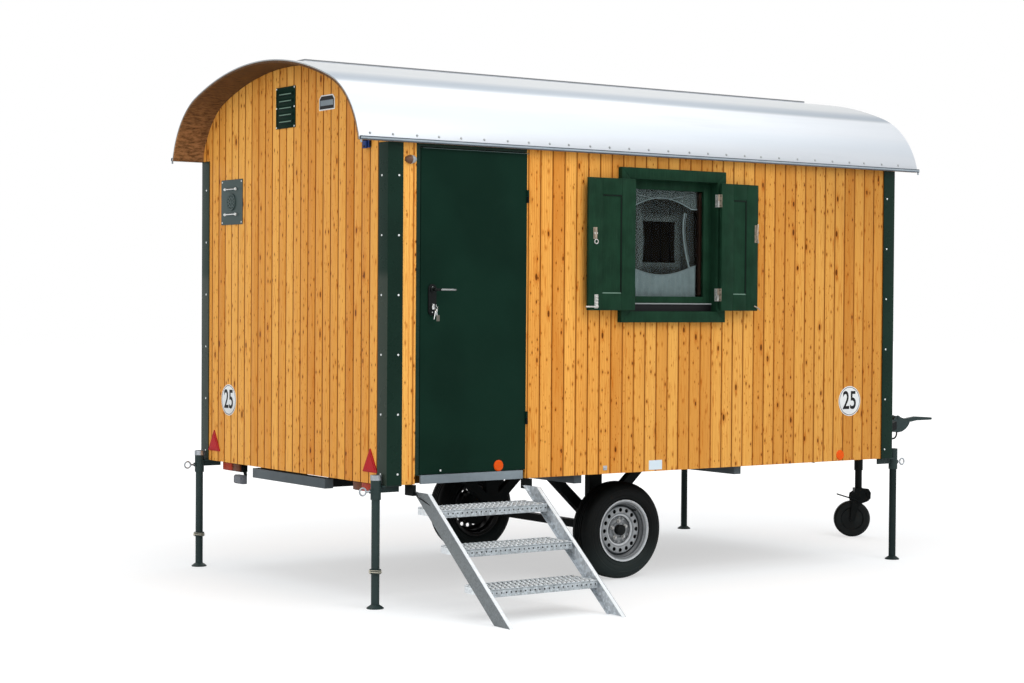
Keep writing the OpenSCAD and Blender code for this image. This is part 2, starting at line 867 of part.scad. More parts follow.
module jockey_outer_tube() {
  wall = (jockey_sleeve_d - jockey_tube_d) / 2;
  clamp_w = 90;
  clamp_h = 70;
  clamp_at = 244;
  color("black") placed() translate([jockey_x, crown_y, jockey_sleeve_z]) difference() {
    union() {
      cylinder(d = jockey_sleeve_d, h = jockey_sleeve_l);
      translate([-jockey_sleeve_d / 2, -clamp_w / 2, clamp_at]) cube([jockey_sleeve_d / 2, clamp_w, clamp_h]);
    }
    translate([0, 0, -cut]) cylinder(d = jockey_tube_d + 0.8, h = jockey_sleeve_l - wall);
  }
}

module jockey_inner_tube() {
  tube_l = 380;
  color("black") placed() translate([jockey_x, crown_y, jockey_tube_z]) cylinder(d = jockey_tube_d, h = tube_l);
}

// Turns a piece drawn about the jockey tube, rolling along X, to the rest angle
module jockey_turned() {
  placed() translate([jockey_x, crown_y, 0]) rotate([0, 0, jockey_turn]) children();
}

module jockey_fork() {
  cheek_t = 5;
  cheek_gap = 76;
  axle_z = jockey_d / 2;
  pin_r = 8;
  bridge_z = 340;
  lug_w = 40;
  lever_z = 272;
  lever_tilt = 73;
  lever_r = 5;
  lever_y = -cheek_gap / 2 - cheek_t - lever_r - 2;
  color("black") jockey_turned() {
    translate([-36, -cheek_gap / 2 - cheek_t, bridge_z])
      cube([68, cheek_gap + 2 * cheek_t, jockey_tube_z - seat - bridge_z]);
    for (y = [-cheek_gap / 2, cheek_gap / 2 + cheek_t]) towards_y(y, cheek_t) union() {
      polygon([
        [-36, 341], [32, 341], [60, 296], [60, 266], [4, 246], [-jockey_trail + 18, axle_z],
        [-jockey_trail - 18, axle_z], [-56, 250], [-64, 300], [-60, 326]
      ]);
      translate([-jockey_trail, axle_z]) circle(20);
    }
    towards_y(lug_w / 2, lug_w) difference() {
      polygon([[14, 345], [14, 300], [40, 268], [70, 266], [90, 288], [92, 330], [76, 358], [40, 362]]);
      translate([68, 316]) circle(9);
    }
    translate([0, lever_y, lever_z]) rotate([0, -lever_tilt, 0]) cylinder(r = lever_r, h = 178);
    translate([0, lever_y - 6, lever_z]) rotate([-90, 0, 0]) cylinder(r = 12, h = 14);
    translate([-jockey_trail, cheek_gap / 2 + 1, axle_z]) rotate([90, 0, 0])
      cylinder(r = pin_r, h = cheek_gap + 2);
  }
}

module jockey_wheel() {
  color("black") jockey_turned() translate([-jockey_trail, 0, jockey_d / 2]) rotate([90, 0, 0])
    rotate_extrude() polygon([
      [8.05, -36], [20, -36], [20, -22], [78, -18], [86, -26], [120, -28], [jockey_d / 2, -16],
      [jockey_d / 2, 16], [120, 28], [86, 26], [78, 18], [20, 22], [20, 36], [8.05, 36]
    ]);
}

// Stands a wheel piece, drawn with its outer side at zero and its axis up, at the near or far side
module near_wheel() {
  placed() translate([axle_x, tyre_inset, wheel_r]) rotate([-90, 0, 0]) children();
}

module far_wheel() {
  placed() translate([axle_x, body_w - tyre_inset, wheel_r]) rotate([90, 0, 0]) children();
}

module tyre() {
  seat_r = flange_d / 2 - 17 + seat;
  shoulder = wheel_r - 32;
  color("black") rotate_extrude($fn = 128) polygon([
    [seat_r, 23], [seat_r + 20, 20], [seat_r + 26, 8], [seat_r + 60, 0], [shoulder, 6], [wheel_r - 8, 26],
    [wheel_r, 46], [wheel_r, tyre_w - 46], [wheel_r - 8, tyre_w - 26], [shoulder, tyre_w - 6],
    [seat_r + 60, tyre_w], [seat_r + 26, tyre_w - 8], [seat_r + 20, tyre_w - 20], [seat_r, tyre_w - 23]
  ]);
}

module rim() {
  flange_r = flange_d / 2;
  seat_r = flange_r - 17;
  well_r = seat_r - 13;
  skin = 5;
  vent_r = 138;
  color("silver") difference() {
    union() {
      rotate_extrude($fn = 128) polygon([
        [flange_r, 10], [flange_r, 15], [seat_r, 22], [seat_r, 50], [well_r, 60], [well_r, tyre_w - 65],
        [seat_r, tyre_w - 50], [seat_r, tyre_w - 22], [flange_r, tyre_w - 15], [flange_r, tyre_w - 10],
        [flange_r - skin, tyre_w - 10], [flange_r - skin, tyre_w - 14], [seat_r - skin, tyre_w - 20],
        [seat_r - skin, tyre_w - 52], [well_r - skin, tyre_w - 67], [well_r - skin, 62],
        [seat_r - skin, 52], [seat_r - skin, 20], [flange_r - skin, 14], [flange_r - skin, 10]
      ]);
      rotate_extrude($fn = 128) polygon([
        [0, 40], [30, 40], [33, 44], [33, 71], [80, 71], [106, 62], [124, 48], [150, 50], [well_r - 1, 66],
        [well_r - 1, 72], [148, 56], [126, 54], [109, 67], [81, 77], [45, 77], [45, 200], [0, 200]
      ]);
    }
    for (vent = [0:vent_count - 1]) rotate(vent * 360 / vent_count)
      translate([vent_r, 0, 0]) cylinder(r = 11, h = 100);
    translate([0, 0, 95]) cylinder(r = 17.55, h = 200);
  }
}

module near_tyre() {
  near_wheel() tyre();
}

module near_rim() {
  near_wheel() rim();
}

module far_tyre() {
  far_wheel() tyre();
}

module far_rim() {
  far_wheel() rim();
}

floor();
rear_wall();
front_wall();
far_wall();
window_wall();
door_post_wall();
door_head();
roof_boards();
roof_sheet();
ridge_strip();
eave_bars();
corner_trims();
door_frame();
door_sill();
door_hinges();
window_casing();
window_sash();
window_glass();
shutter_hinges();
vent_grille();
flue_plate();
power_inlet();
marker_lamp();
rear_reflectors();
wall_reflector();
rear_lamps();
reversing_lamp();
chassis_rails();
cross_members();
drawbar_beams();
coupling_body();
axle_beam();
axle_stands();
leg_sleeves();
leg_clamps();
step_stringers();
step_treads();
step_hooks();
jockey_outer_tube();
door_leaf();
lock_plate();
door_lever();
door_reflector();
left_shutter();
right_shutter();
near_tyre();
near_rim();
far_tyre();
far_rim();
rear_near_leg();
rear_far_leg();
front_near_leg();
front_far_leg();
jockey_inner_tube();
jockey_fork();
jockey_wheel();
coupling_handle();
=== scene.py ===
"""Looks of a site trailer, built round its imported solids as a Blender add-on that is run as a script."""

import itertools
import json
import math
import random

import bmesh
import bpy
from mathutils import Matrix, Vector


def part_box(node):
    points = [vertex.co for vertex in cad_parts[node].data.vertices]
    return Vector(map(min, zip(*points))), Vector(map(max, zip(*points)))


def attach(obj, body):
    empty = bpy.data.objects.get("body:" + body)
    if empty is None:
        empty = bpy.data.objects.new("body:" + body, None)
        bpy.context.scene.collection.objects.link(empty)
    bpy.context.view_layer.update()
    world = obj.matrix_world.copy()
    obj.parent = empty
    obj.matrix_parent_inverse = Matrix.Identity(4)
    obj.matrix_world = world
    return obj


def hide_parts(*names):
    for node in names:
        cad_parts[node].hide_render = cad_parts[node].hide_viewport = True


bl_info = {
    "name": "Site Trailer",
    "version": (1, 0, 0),
    "blender": (4, 5, 0),
    "location": "View3D > Sidebar > Trailer",
    "description": "Dresses a boarded site trailer with its boards, roof, fittings, wheels and curtains",
    "category": "Add Mesh",
}

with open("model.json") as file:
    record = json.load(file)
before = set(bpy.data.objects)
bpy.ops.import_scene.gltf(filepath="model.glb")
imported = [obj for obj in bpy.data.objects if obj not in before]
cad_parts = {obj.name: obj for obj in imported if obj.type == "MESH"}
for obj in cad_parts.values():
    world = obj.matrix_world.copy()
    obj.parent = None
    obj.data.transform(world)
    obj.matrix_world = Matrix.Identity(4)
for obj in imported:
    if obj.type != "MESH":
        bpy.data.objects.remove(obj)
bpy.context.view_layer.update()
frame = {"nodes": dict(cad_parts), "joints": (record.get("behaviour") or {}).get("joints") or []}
SOLIDS = frame["nodes"]

# The rear corner of the door side at ground level: distances are measured from it
CORNER = Vector((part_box("rear_wall")[0].x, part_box("rear_wall")[0].y, 0))
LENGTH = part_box("front_wall")[1].x - CORNER.x
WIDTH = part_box("rear_wall")[1].y - CORNER.y
FLOOR_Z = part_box("rear_wall")[0].z
EAVE_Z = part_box("eave_bars")[0].z
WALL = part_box("rear_wall")[1].x - CORNER.x

TO_REAR = (-1, 0, 0)
TO_DOOR_SIDE = (0, -1, 0)
NO_GAP = 1e-6
SAME_SPOT = 1e-5
NARROWEST_BOARD = 0.004


def at(x, y, z):
    """Point at a distance from the rear wall, from the door-side wall and above the ground."""
    return CORNER + Vector((x, y, z))


def near_box(node):
    """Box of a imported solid, measured from the rear corner of the door side."""
    low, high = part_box(node)
    return low - CORNER, high - CORNER


def linear(red, green, blue):
    """Shader colour of a colour given in screen values from 0 to 255."""
    values = [c / 255 for c in (red, green, blue)]
    return tuple(v / 12.92 if v <= 0.04045 else ((v + 0.055) / 1.055) ** 2.4 for v in values)


def toned(colour, factor, lift=0.0):
    """Colour times one factor, or one for each channel, and lifted a little; never above full."""
    factors = factor if isinstance(factor, tuple) else (factor,) * 3
    return tuple(min(1.0, c * f + lift) for c, f in zip(colour, factors))


class TrailerSizes(bpy.types.PropertyGroup):
    """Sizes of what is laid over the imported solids."""

    board_pitch: bpy.props.FloatProperty(
        name="Board Width", description="Width that each wall board covers", default=0.0898, min=0.06, unit="LENGTH"
    )
    side_start: bpy.props.FloatProperty(
        name="First Side Joint", description="Distance from the rear wall to the first joint past the door",
        default=0.978, unit="LENGTH",
    )
    end_pitch: bpy.props.FloatProperty(
        name="End Board Width", description="Width that each board of the end walls covers", default=0.0893, min=0.06,
        unit="LENGTH",
    )
    end_start: bpy.props.FloatProperty(
        name="First End Joint", description="Distance from the door side to a joint of the end walls",
        default=0.199, unit="LENGTH",
    )
    groove: bpy.props.FloatProperty(
        name="Board Chamfer", description="Width of the chamfer along each edge of a board", default=0.0045,
        unit="LENGTH",
    )
    board_depth: bpy.props.FloatProperty(
        name="Board Thickness", description="Thickness of the wall boards", default=0.018, unit="LENGTH"
    )
    crown_radius: bpy.props.FloatProperty(
        name="Crown Radius", description="Radius of the flat crown of the roof", default=2.3784, unit="LENGTH"
    )
    shoulder_radius: bpy.props.FloatProperty(
        name="Shoulder Radius", description="Radius of the tight shoulders of the roof", default=0.531, unit="LENGTH"
    )
    spring_drop: bpy.props.FloatProperty(
        name="Springing Drop", description="Depth of the centres of the shoulders below the eaves",
        default=0.108, unit="LENGTH",
    )
    roof_boards: bpy.props.FloatProperty(
        name="Roof Board Thickness", description="Thickness of the boards under the roof sheet",
        default=0.018, unit="LENGTH",
    )
    roof_sheet: bpy.props.FloatProperty(
        name="Roof Sheet Thickness", description="Thickness of the roof sheet", default=0.002, unit="LENGTH"
    )
    eave_screw_pitch: bpy.props.FloatProperty(
        name="Eave Screw Spacing", description="Distance between the screws along the eaves", default=0.155,
        unit="LENGTH",
    )
    trim_screw_pitch: bpy.props.FloatProperty(
        name="Trim Screw Spacing", description="Height between the screws of the corner trims", default=0.34,
        unit="LENGTH",
    )
    left_leaf: bpy.props.FloatProperty(
        name="Left Shutter Width", description="Width of the left shutter", default=0.351, unit="LENGTH"
    )
    right_leaf: bpy.props.FloatProperty(
        name="Right Shutter Width", description="Width of the right shutter", default=0.321, unit="LENGTH"
    )


class TrailerColours(bpy.types.PropertyGroup):
    """Colours of the finishes."""

    pine: bpy.props.FloatVectorProperty(
        name="Pine", description="Varnished pine of the boards", subtype="COLOR", size=3, default=linear(245, 178, 86)
    )
    pine_dark: bpy.props.FloatVectorProperty(
        name="Dark Pine", description="Late wood and the darker boards", subtype="COLOR", size=3,
        default=linear(202, 122, 42),
    )
    knot: bpy.props.FloatVectorProperty(
        name="Knot", description="Knots in the boards", subtype="COLOR", size=3, default=linear(86, 36, 3)
    )
    stain: bpy.props.FloatVectorProperty(
        name="Roof Stain", description="Brown stain under the roof", subtype="COLOR", size=3,
        default=linear(82, 54, 28),
    )
    green: bpy.props.FloatVectorProperty(
        name="Green Enamel", description="Enamel of the door and the corner trims", subtype="COLOR", size=3,
        default=linear(18, 44, 34),
    )
    shutter: bpy.props.FloatVectorProperty(
        name="Shutter Green", description="Paint of the shutters and the window", subtype="COLOR", size=3,
        default=linear(25, 54, 38),
    )
    roof: bpy.props.FloatVectorProperty(
        name="Roof Metal", description="Bare metal of the roof sheet", subtype="COLOR", size=3,
        default=linear(197, 201, 206),
    )
    zinc: bpy.props.FloatVectorProperty(
        name="Zinc", description="Galvanised steel", subtype="COLOR", size=3, default=linear(176, 181, 186)
    )
    black: bpy.props.FloatVectorProperty(
        name="Chassis Black", description="Paint of the chassis", subtype="COLOR", size=3, default=linear(16, 20, 20)
    )
    leg: bpy.props.FloatVectorProperty(
        name="Leg Paint", description="Paint of the corner legs", subtype="COLOR", size=3, default=linear(44, 58, 57)
    )
    wheel: bpy.props.FloatVectorProperty(
        name="Wheel Silver", description="Paint of the wheel discs", subtype="COLOR", size=3,
        default=linear(140, 145, 148),
    )
    red: bpy.props.FloatVectorProperty(
        name="Red Lens", description="Red lamps and reflectors", subtype="COLOR", size=3, default=linear(190, 18, 26)
    )
    orange: bpy.props.FloatVectorProperty(
        name="Orange Lens", description="Orange reflectors", subtype="COLOR", size=3, default=linear(246, 92, 6)
    )


class Link:
    """A shader output that takes part in sums like a number."""

    def __init__(self, shader, socket):
        self.shader = shader
        self.socket = socket

    def maths(self, operation, *values):
        """Result of a Math node on this output and other values."""
        sockets = dict(enumerate((self, *values)))
        return self.shader.node("ShaderNodeMath", {"operation": operation}, sockets)

    def __add__(self, other):
        return self.maths("ADD", other)

    __radd__ = __add__

    def __sub__(self, other):
        return self.maths("SUBTRACT", other)

    def __rsub__(self, other):
        return (self * -1).maths("ADD", other)

    def __mul__(self, other):
        return self.maths("MULTIPLY", other)

    __rmul__ = __mul__

    def __truediv__(self, other):
        return self.maths("DIVIDE", other)

    def __rtruediv__(self, other):
        return self.shader.node("ShaderNodeMath", {"operation": "DIVIDE"}, {0: other, 1: self})

    def step(self, low, high):
        """Smooth rise from 0 at low to 1 at high; high may lie below low."""
        sockets = {0: self, 1: low, 2: high}
        return self.shader.node(
            "ShaderNodeMapRange", {"interpolation_type": "SMOOTHSTEP", "clamp": True}, sockets
        )


class Finish:
    """A material and the shader that is built for it."""

    def __init__(self, name, **constants):
        self.material = bpy.data.materials.new(name)
        self.material.use_nodes = True
        self.tree = self.material.node_tree
        self.surface = self.tree.nodes["Principled BSDF"]
        for socket, value in constants.items():
            self.surface.inputs[socket.replace("_", " ")].default_value = value
        self.place = self.node("ShaderNodeTexCoord", out="Object")

    def node(self, kind, settings=None, sockets=None, out=0):
        """Output of a new node, given its settings and the values or links of its sockets."""
        made = self.tree.nodes.new(kind)
        for name, value in (settings or {}).items():
            if name == "stops":
                for stop, (position, colour) in enumerate(value):
                    while len(made.color_ramp.elements) <= stop:
                        made.color_ramp.elements.new(1.0)
                    made.color_ramp.elements[stop].position = position
                    made.color_ramp.elements[stop].color = (*colour[:3], 1.0)
            else:
                setattr(made, name, value)
        for key, value in (sockets or {}).items():
            self.feed(made.inputs[key], value)
        return Link(self, made.outputs[out])

    def feed(self, socket, value):
        """Links an output to a socket, or sets the socket's own value."""
        if isinstance(value, Link):
            self.tree.links.new(value.socket, socket)
        elif socket.type == "RGBA" and len(value) == 3:
            socket.default_value = (*value, 1.0)
        else:
            socket.default_value = value

    def split(self, vector):
        """The three numbers of a vector."""
        made = self.tree.nodes.new("ShaderNodeSeparateXYZ")
        self.feed(made.inputs[0], vector)
        return [Link(self, made.outputs[i]) for i in range(3)]

    def join(self, x, y, z):
        """Vector of three numbers."""
        return self.node("ShaderNodeCombineXYZ", sockets={0: x, 1: y, 2: z})

    def stretch(self, x, y, z):
        """Object coordinates scaled along each axis."""
        return self.node("ShaderNodeVectorMath", {"operation": "MULTIPLY"}, {0: self.place, 1: (x, y, z)})

    def noise(self, scale, detail=2.0, vector=None, roughness=0.5):
        """Noise between 0 and 1."""
        sockets = {"Vector": vector or self.place, "Scale": scale, "Detail": detail, "Roughness": roughness}
        return self.node("ShaderNodeTexNoise", sockets=sockets)

    def mix(self, factor, first, second):
        """Colour between two colours."""
        return self.node("ShaderNodeMix", {"data_type": "RGBA"}, {0: factor, 6: first, 7: second}, out=2)

    def paint(self, colour=None, roughness=None, metallic=None, bump=None, depth=0.001, strength=1.0, alpha=None):
        """Feeds what changes over the surface to the shader."""
        fed = {"Base Color": colour, "Roughness": roughness, "Metallic": metallic, "Alpha": alpha}
        for socket, value in fed.items():
            if value is not None:
                self.feed(self.surface.inputs[socket], value)
        if bump is not None:
            sockets = {"Height": bump, "Distance": depth, "Strength": strength}
            self.feed(self.surface.inputs["Normal"], self.node("ShaderNodeBump", sockets=sockets))

    def show(self, factor, first, second):
        """Shows a mix of two shaders."""
        mixed = self.node("ShaderNodeMixShader", sockets={0: factor, 1: first, 2: second})
        self.tree.links.new(mixed.socket, self.tree.nodes["Material Output"].inputs["Surface"])


def pine_boards(name, axis, start, pitch, colours, shade=1.0):
    """Varnished pine boards that stand side by side along X (axis 0) or Y (axis 1)."""
    finish = Finish(name, Specular_IOR_Level=0.06)
    x, y, z = finish.split(finish.place)
    across = (x, y)[axis] - start
    row = across / pitch
    board = row.maths("FLOOR")
    inside = row.maths("FRACT")
    luck = finish.node("ShaderNodeTexWhiteNoise", {"noise_dimensions": "1D"}, {"W": board * 1.37 + 3.1})
    fate = finish.node("ShaderNodeTexWhiteNoise", {"noise_dimensions": "1D"}, {"W": board * 0.71 + 47.3})
    run = z + luck * 11.0

    def knots(wide, tall, low, high, share):
        cells = finish.tree.nodes.new("ShaderNodeTexVoronoi")
        cells.voronoi_dimensions = "2D"
        cells.inputs["Scale"].default_value = 1.0
        spot = finish.join(across * wide + luck * 5.0, run * tall, 0.0)
        wobble = finish.noise(1.0, 1.0, finish.join(across * 70.0, run * 45.0, 0.0))
        finish.feed(cells.inputs["Vector"], spot)
        red, green, _ = finish.split(Link(finish, cells.outputs["Color"]))
        size = green * (high - low) + low
        ratio = (Link(finish, cells.outputs["Distance"]) + wobble * (0.5 * low) - 0.25 * low) / size
        return ratio, red.step(share + 0.01, share)

    big, big_there = knots(8.5, 3.4, 0.04, 0.08, 0.26)
    pin, pin_there = knots(25.0, 11.0, 0.05, 0.13, 0.52)
    halo = big.step(3.2, 0.9) * big_there
    core = big.step(1.1, 0.75) * big_there
    crowd = finish.noise(1.0, 1.0, finish.join(across * 3.2, run * 0.9, 4.0)).step(0.40, 0.58)
    pin_core = pin.step(1.1, 0.6) * pin_there * (crowd * 0.75 + 0.25)
    pin_halo = pin.step(2.6, 0.9) * pin_there
    fleck, fleck_there = knots(46.0, 17.0, 0.07, 0.15, 0.50)
    fleck_core = fleck.step(1.2, 0.6) * fleck_there * crowd
    bend = halo * 0.012 + pin_halo * 0.004
    drift = finish.noise(1.0, 2.0, finish.join(across * 7.0 + luck * 9.0, run * 1.3, 0.0)) * 0.045
    rings = ((across + drift + bend) * (2 * math.pi / 0.0125)).maths("SINE") * 0.5 + 0.5
    fibre = finish.noise(1.0, 3.0, finish.join(across * 240.0, luck * 7.0, run * 5.0), 0.6)
    cloud = finish.noise(1.0, 2.0, finish.join(across * 9.0 + luck * 3.0, 0.0, run * 1.1))
    light, dark, knot = [toned(colour, shade) for colour in colours]
    middle = tuple(0.6 * a + 0.4 * b for a, b in zip(light, dark))
    pale = toned(light, (1.08, 1.16, 1.30))
    board_tone = finish.node(
        "ShaderNodeValToRGB", {"stops": [(0.0, pale), (0.35, light), (0.75, middle), (1.0, dark)]},
        {0: luck * 0.75 + cloud * 0.5 - 0.15},
    )
    red_wood = toned(dark, (0.92, 0.70, 0.25))
    colour = finish.mix(rings.step(0.45, 1.0) * (fate * 0.35 + 0.18), board_tone, dark)
    colour = finish.mix(fibre.step(0.50, 0.72) * 0.5, colour, dark)
    streak = finish.noise(1.0, 3.0, finish.join(across * 95.0, luck * 5.0, run * 7.0), 0.6)
    colour = finish.mix(streak.step(0.56, 0.72) * 0.75, colour, red_wood)
    dash = finish.noise(1.0, 2.0, finish.join(across * 150.0 + run * 30.0, luck * 9.0, run * 34.0), 0.7)
    colour = finish.mix(dash.step(0.70, 0.78) * 0.75, colour, red_wood)
    colour = finish.mix(halo * 0.5, colour, red_wood)
    colour = finish.mix(pin_halo * 0.5, colour, red_wood)
    colour = finish.mix(core * 0.9, colour, knot)
    colour = finish.mix(pin_core * 0.95, colour, knot)
    colour = finish.mix(fleck_core * 0.7, colour, red_wood)
    edge = (inside - 0.5).maths("ABSOLUTE")
    seam = ((0.46, 0.30), (0.68, 0.25))[axis]
    colour = finish.mix(edge.step(0.36, 0.47) * 0.5, colour, red_wood)
    colour = finish.mix(edge.step(0.435, 0.482) * (fate * seam[1] + seam[0]), colour, toned(knot, 0.5))
    if axis == 0:
        # Painted shade: the side boards darken towards the front end, and darken further high up under the eaves.
        painted_shade = (x - CORNER.x).step(1.2, 2.1) * 0.14 + (x - CORNER.x).step(2.6, 3.6) * (z.step(1.9, 2.5) * 0.10 + 0.08)
        colour = finish.mix(painted_shade, colour, (0.0, 0.0, 0.0))
    height = fibre * 0.5 + rings * 0.35 - core * 0.8
    finish.paint(colour, fibre * 0.12 + 0.36, bump=height, depth=0.0006, strength=0.5)


def stained_boards(name, colour):
    """Brown stained sheets under the roof, with a fuzzy grain along X and painted light that makes them paler lower
    down towards the eaves.
    """
    finish = Finish(name, Specular_IOR_Level=0.15)
    x, y, z = finish.split(finish.place)
    grain = finish.noise(1.0, 4.0, finish.join(x * 22.0, y * 60.0, z * 60.0), 0.65)
    patch = finish.noise(3.0, 3.0)
    dark = toned(colour, 0.35)
    pale = toned(colour, 1.8)
    stops = [(0.3, dark), (0.5, colour), (0.7, pale)]
    tone = finish.node("ShaderNodeValToRGB", {"stops": stops}, {0: grain * 0.8 + patch * 0.2})
    painted_light = toned(colour, (5.4, 6.2, 8.0))
    # Painted light: the lower part of the soffit turns paler in patches.
    tone = finish.mix((z + patch * 0.1).step(3.22, 2.72) * grain.step(0.2, 0.75), tone, painted_light)
    finish.paint(tone, grain * 0.2 + 0.5, bump=grain, depth=0.0008, strength=0.6)


def enamel(name, colour, rough=0.32, wave=0.0, grime=0.12, shine=0.16, film=None):
    """Smooth enamel with a faint peel, soft dents and dust; a film colour paints a pale reflection on the rear faces
    low down.
    """
    finish = Finish(name, Specular_IOR_Level=shine)
    peel = finish.noise(420.0, 1.0)
    swell = finish.noise(2.4, 1.0)
    dust = finish.noise(7.0, 4.0, None, 0.65)
    pale = toned(colour, 1.5, 0.012)
    deep = toned(colour, 0.8)
    tone = finish.mix(swell.step(0.35, 0.65), deep, colour)
    tone = finish.mix(dust.step(0.45, 0.85) * grime, tone, pale)
    if film:
        # Painted reflection: the rear faces below about 1.9 m turn towards the film colour.
        x, _, z = finish.split(finish.place)
        rear = (x - CORNER.x).step(-0.0045, -0.0056)
        tone = finish.mix(rear * (z + swell * 0.05).step(1.96, 1.88) * 0.9, tone, film)
    height = peel * 0.03 + swell * wave
    finish.paint(tone, dust * 0.16 + rough - 0.06, bump=height, depth=0.004, strength=0.35)


def brushed_paint(name, colour):
    """Brushed paint over planed wood, with faint upright strokes."""
    finish = Finish(name, Specular_IOR_Level=0.05)
    stroke = finish.node(
        "ShaderNodeTexNoise", sockets={"Vector": finish.stretch(260.0, 260.0, 9.0), "Scale": 1.0, "Detail": 3.0}
    )
    patch = finish.noise(11.0, 3.0)
    pale = toned(colour, 1.35, 0.006)
    deep = toned(colour, 0.72)
    tone = finish.mix(patch.step(0.3, 0.7), deep, colour)
    tone = finish.mix(stroke.step(0.45, 0.8) * 0.45, tone, pale)
    finish.paint(tone, stroke * 0.2 + 0.36, bump=stroke, depth=0.0006, strength=0.5)


def zinc(name, colour, spangle=46.0, metal=0.75, rough=0.36, contrast=0.22):
    """Galvanised steel with its grains of zinc, streaks and dull patches."""
    finish = Finish(name)
    cells = finish.tree.nodes.new("ShaderNodeTexVoronoi")
    cells.inputs["Scale"].default_value = spangle
    finish.feed(cells.inputs["Vector"], finish.place)
    flake, _, _ = finish.split(Link(finish, cells.outputs["Color"]))
    patch = finish.noise(6.0, 4.0, None, 0.6)
    dull = toned(colour, 1 - contrast * 1.4)
    bright = toned(colour, 1 + contrast * 0.6)
    tone = finish.mix(flake, dull, bright)
    tone = finish.mix(patch.step(0.35, 0.75) * 0.4, tone, colour)
    finish.paint(tone, flake * 0.14 + patch * 0.12 + rough - 0.13, metal, bump=flake, depth=0.0002, strength=0.25)


def roof_metal(name, colour):
    """Bright roof sheet, soft with long shallow waves along X and a film of dust, with painted reflections in bands
    along it: grey-beige over the crown, dark blue-grey at the fold and pale bluish low on the shoulders.
    """
    finish = Finish(name)
    x, y, z = finish.split(finish.place)
    wave = finish.noise(1.0, 1.0, finish.join(x * 0.5, y * 5.0, z * 5.0))
    film = finish.noise(1.0, 4.0, finish.join(x * 1.3, y * 16.0, z * 16.0), 0.6)
    speck = finish.noise(130.0, 2.0)
    shade = toned(colour, (0.84, 0.85, 0.86))
    tone = finish.mix(film.step(0.45, 0.8) * 0.35, colour, shade)
    tone = finish.mix(speck.step(0.66, 0.75) * 0.25, tone, shade)
    middle = CORNER.y + WIDTH / 2
    out = (y - middle).maths("ABSOLUTE") + (wave - 0.5) * 0.02
    # Painted reflection: a grey-beige band over the crown.
    crown = out.step(0.94, 0.90) * (z - 2.9).step(0.0, 0.1)
    tone = finish.mix(crown, tone, toned(colour, (0.82, 0.815, 0.79)))
    # Painted reflection: a dark blue-grey band where the crown turns into the shoulders.
    fold = out.step(0.70, 0.86) * out.step(0.945, 0.885)
    tone = finish.mix(fold * 0.9, tone, toned(colour, (0.43, 0.49, 0.55)))
    # Painted reflection: a pale bluish band low on the shoulders.
    low = out.step(1.06, 1.11) * out.step(1.165, 1.13)
    tone = finish.mix(low * 0.5, tone, toned(colour, (0.9, 0.94, 0.97)))
    finish.paint(tone, film * 0.15 + 0.27, film * 0.1 + 0.45, bump=wave, depth=0.012, strength=0.25)


def ridge_metal(name, colour):
    """Ridge strip: bright sheet, darker along its upper edges."""
    finish = Finish(name)
    _, _, z = finish.split(finish.place)
    film = finish.noise(9.0, 4.0, None, 0.6)
    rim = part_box("ridge_strip")[1].z
    dark = toned(colour, 0.34)
    tone = finish.mix(film.step(0.45, 0.8) * 0.3, colour, toned(colour, 0.8))
    tone = finish.mix((z + film * 0.003).step(rim - 0.009, rim - 0.006), tone, dark)
    finish.paint(tone, film * 0.15 + 0.3, 0.3, bump=film, depth=0.001, strength=0.3)


def lens(name, colour):
    """Moulded plastic lens with small prisms under a glossy face."""
    finish = Finish(name, Specular_IOR_Level=0.12, Coat_Weight=0.06, Coat_Roughness=0.1)
    prisms = finish.tree.nodes.new("ShaderNodeTexVoronoi")
    prisms.inputs["Scale"].default_value = 260.0
    prisms.inputs["Randomness"].default_value = 0.0
    finish.feed(prisms.inputs["Vector"], finish.place)
    rise = Link(finish, prisms.outputs["Distance"])
    deep = toned(colour, 0.62)
    tone = finish.mix(rise.step(0.2, 0.75) * 0.7, colour, deep)
    finish.paint(tone, rise * 0.2 + 0.16, bump=rise, depth=0.0006, strength=0.4)


